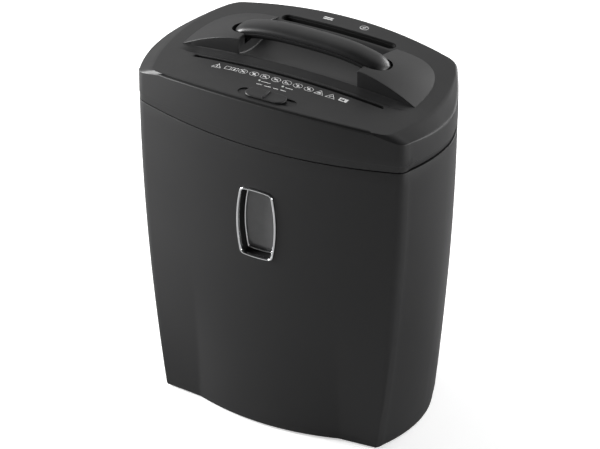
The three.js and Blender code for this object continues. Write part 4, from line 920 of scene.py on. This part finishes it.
# ---------- studio ----------
AZIMUTH, ELEVATION, DISTANCE, LENS = 28.7, 32.1, 5.75, 317.4
SHIFT_RIGHT, SHIFT_UP = -0.0064, 0.1706
SOFTBOXES = [  # name, place, what it faces, size, watts
    ("left_box", (-2.5, -0.6, 1.0), (0, 0, 0.1), (1.2, 1.6), 160),
    ("right_box", (2.4, 1.1, 0.8), (0, 0, 0.2), (1.2, 1.4), 42),
    ("edge_box", (2.3, -0.35, 0.5), (0, 0, 0.2), (0.8, 1.2), 20),
    ("back_box", (0.9, 2.7, 0.9), (0.1, 0, 0.2), (1.2, 1.4), 38),
]


def softbox(name, place, aim, size, power):
    lamp = bpy.data.lights.new(name, "AREA")
    lamp.shape = "RECTANGLE"
    lamp.size, lamp.size_y = size
    lamp.energy = power
    holder = bpy.data.objects.new(name, lamp)
    bpy.context.scene.collection.objects.link(holder)
    holder.location = place
    holder.rotation_euler = (Vector(aim) - Vector(place)).to_track_quat("-Z", "Y").to_euler()


def make_studio():
    scene = bpy.context.scene
    deselect()
    bpy.ops.mesh.primitive_grid_add(x_subdivisions=8, y_subdivisions=8, size=30, location=(0, 0, 0))
    floor = bpy.context.object
    floor.name = "floor"
    paper, t, shader, point = blank("pale_floor")
    fibre = node(t, "ShaderNodeTexNoise", {"Scale": 3.0, "Detail": 3.0})
    t.links.new(point, fibre.inputs["Vector"])
    # The floor looks white where it is seen, but what it throws back on to the shell is a mid grey.
    pale = tint(t, fibre.outputs["Fac"], (0.88, 0.88, 0.88), (0.9, 0.9, 0.9))
    seen = t.nodes.new("ShaderNodeLightPath").outputs["Is Camera Ray"]
    t.links.new(tint(t, seen, (0.46, 0.46, 0.46), pale), shader.inputs["Base Color"])
    shader.inputs["Roughness"].default_value = 0.9
    shader.inputs["Specular IOR Level"].default_value = 0.0
    t.links.new(tint(t, seen, (0, 0, 0), (1, 1, 1)), shader.inputs["Emission Color"])
    shader.inputs["Emission Strength"].default_value = 0.5
    floor.data.materials.append(paper)
    world = bpy.data.worlds.new("studio")
    scene.world = world
    world.use_nodes = True
    sky = world.node_tree
    # The room is bright only towards the back and left; everywhere else it is nearly dark.
    facing = node(sky, "ShaderNodeVectorMath", {1: (-0.45, 0.85, 0.1)}, operation="DOT_PRODUCT")
    sky.links.new(sky.nodes.new("ShaderNodeTexCoord").outputs["Generated"], facing.inputs[0])
    limits = {"From Min": 0.05, "From Max": 0.9, "To Min": 0.06, "To Max": 1.0}
    walls = node(sky, "ShaderNodeMapRange", limits)
    walls.interpolation_type = "SMOOTHSTEP"
    sky.links.new(facing.outputs["Value"], walls.inputs["Value"])
    sky.links.new(walls.outputs["Result"], sky.nodes["Background"].inputs["Color"])
    sky.nodes["Background"].inputs["Strength"].default_value = 0.72
    for name, place, aim, size, power in SOFTBOXES:
        softbox(name, place, aim, size, power)
    scene.view_settings.view_transform = "Standard"
    lens = bpy.data.cameras.new("camera")
    lens.lens = LENS
    lens.sensor_width = 36
    lens.clip_end = 60
    camera = bpy.data.objects.new("camera", lens)
    scene.collection.objects.link(camera)
    a, e = math.radians(AZIMUTH), math.radians(ELEVATION)
    back = Vector((math.sin(a) * math.cos(e), -math.cos(a) * math.cos(e), math.sin(e)))
    right = Vector((math.cos(a), math.sin(a), 0))
    up = back.cross(right)
    place = right * SHIFT_RIGHT + up * SHIFT_UP + back * DISTANCE
    camera.matrix_world = Matrix.Translation(place) @ Matrix((right, up, back)).transposed().to_4x4()
    scene.camera = camera


make_bin()
make_window()
make_feet()
make_head()
make_handle()
make_disc_rim()
make_slot_shade_lining()
make_gap_shade_strip()
make_knob()
make_signs()
make_studio()
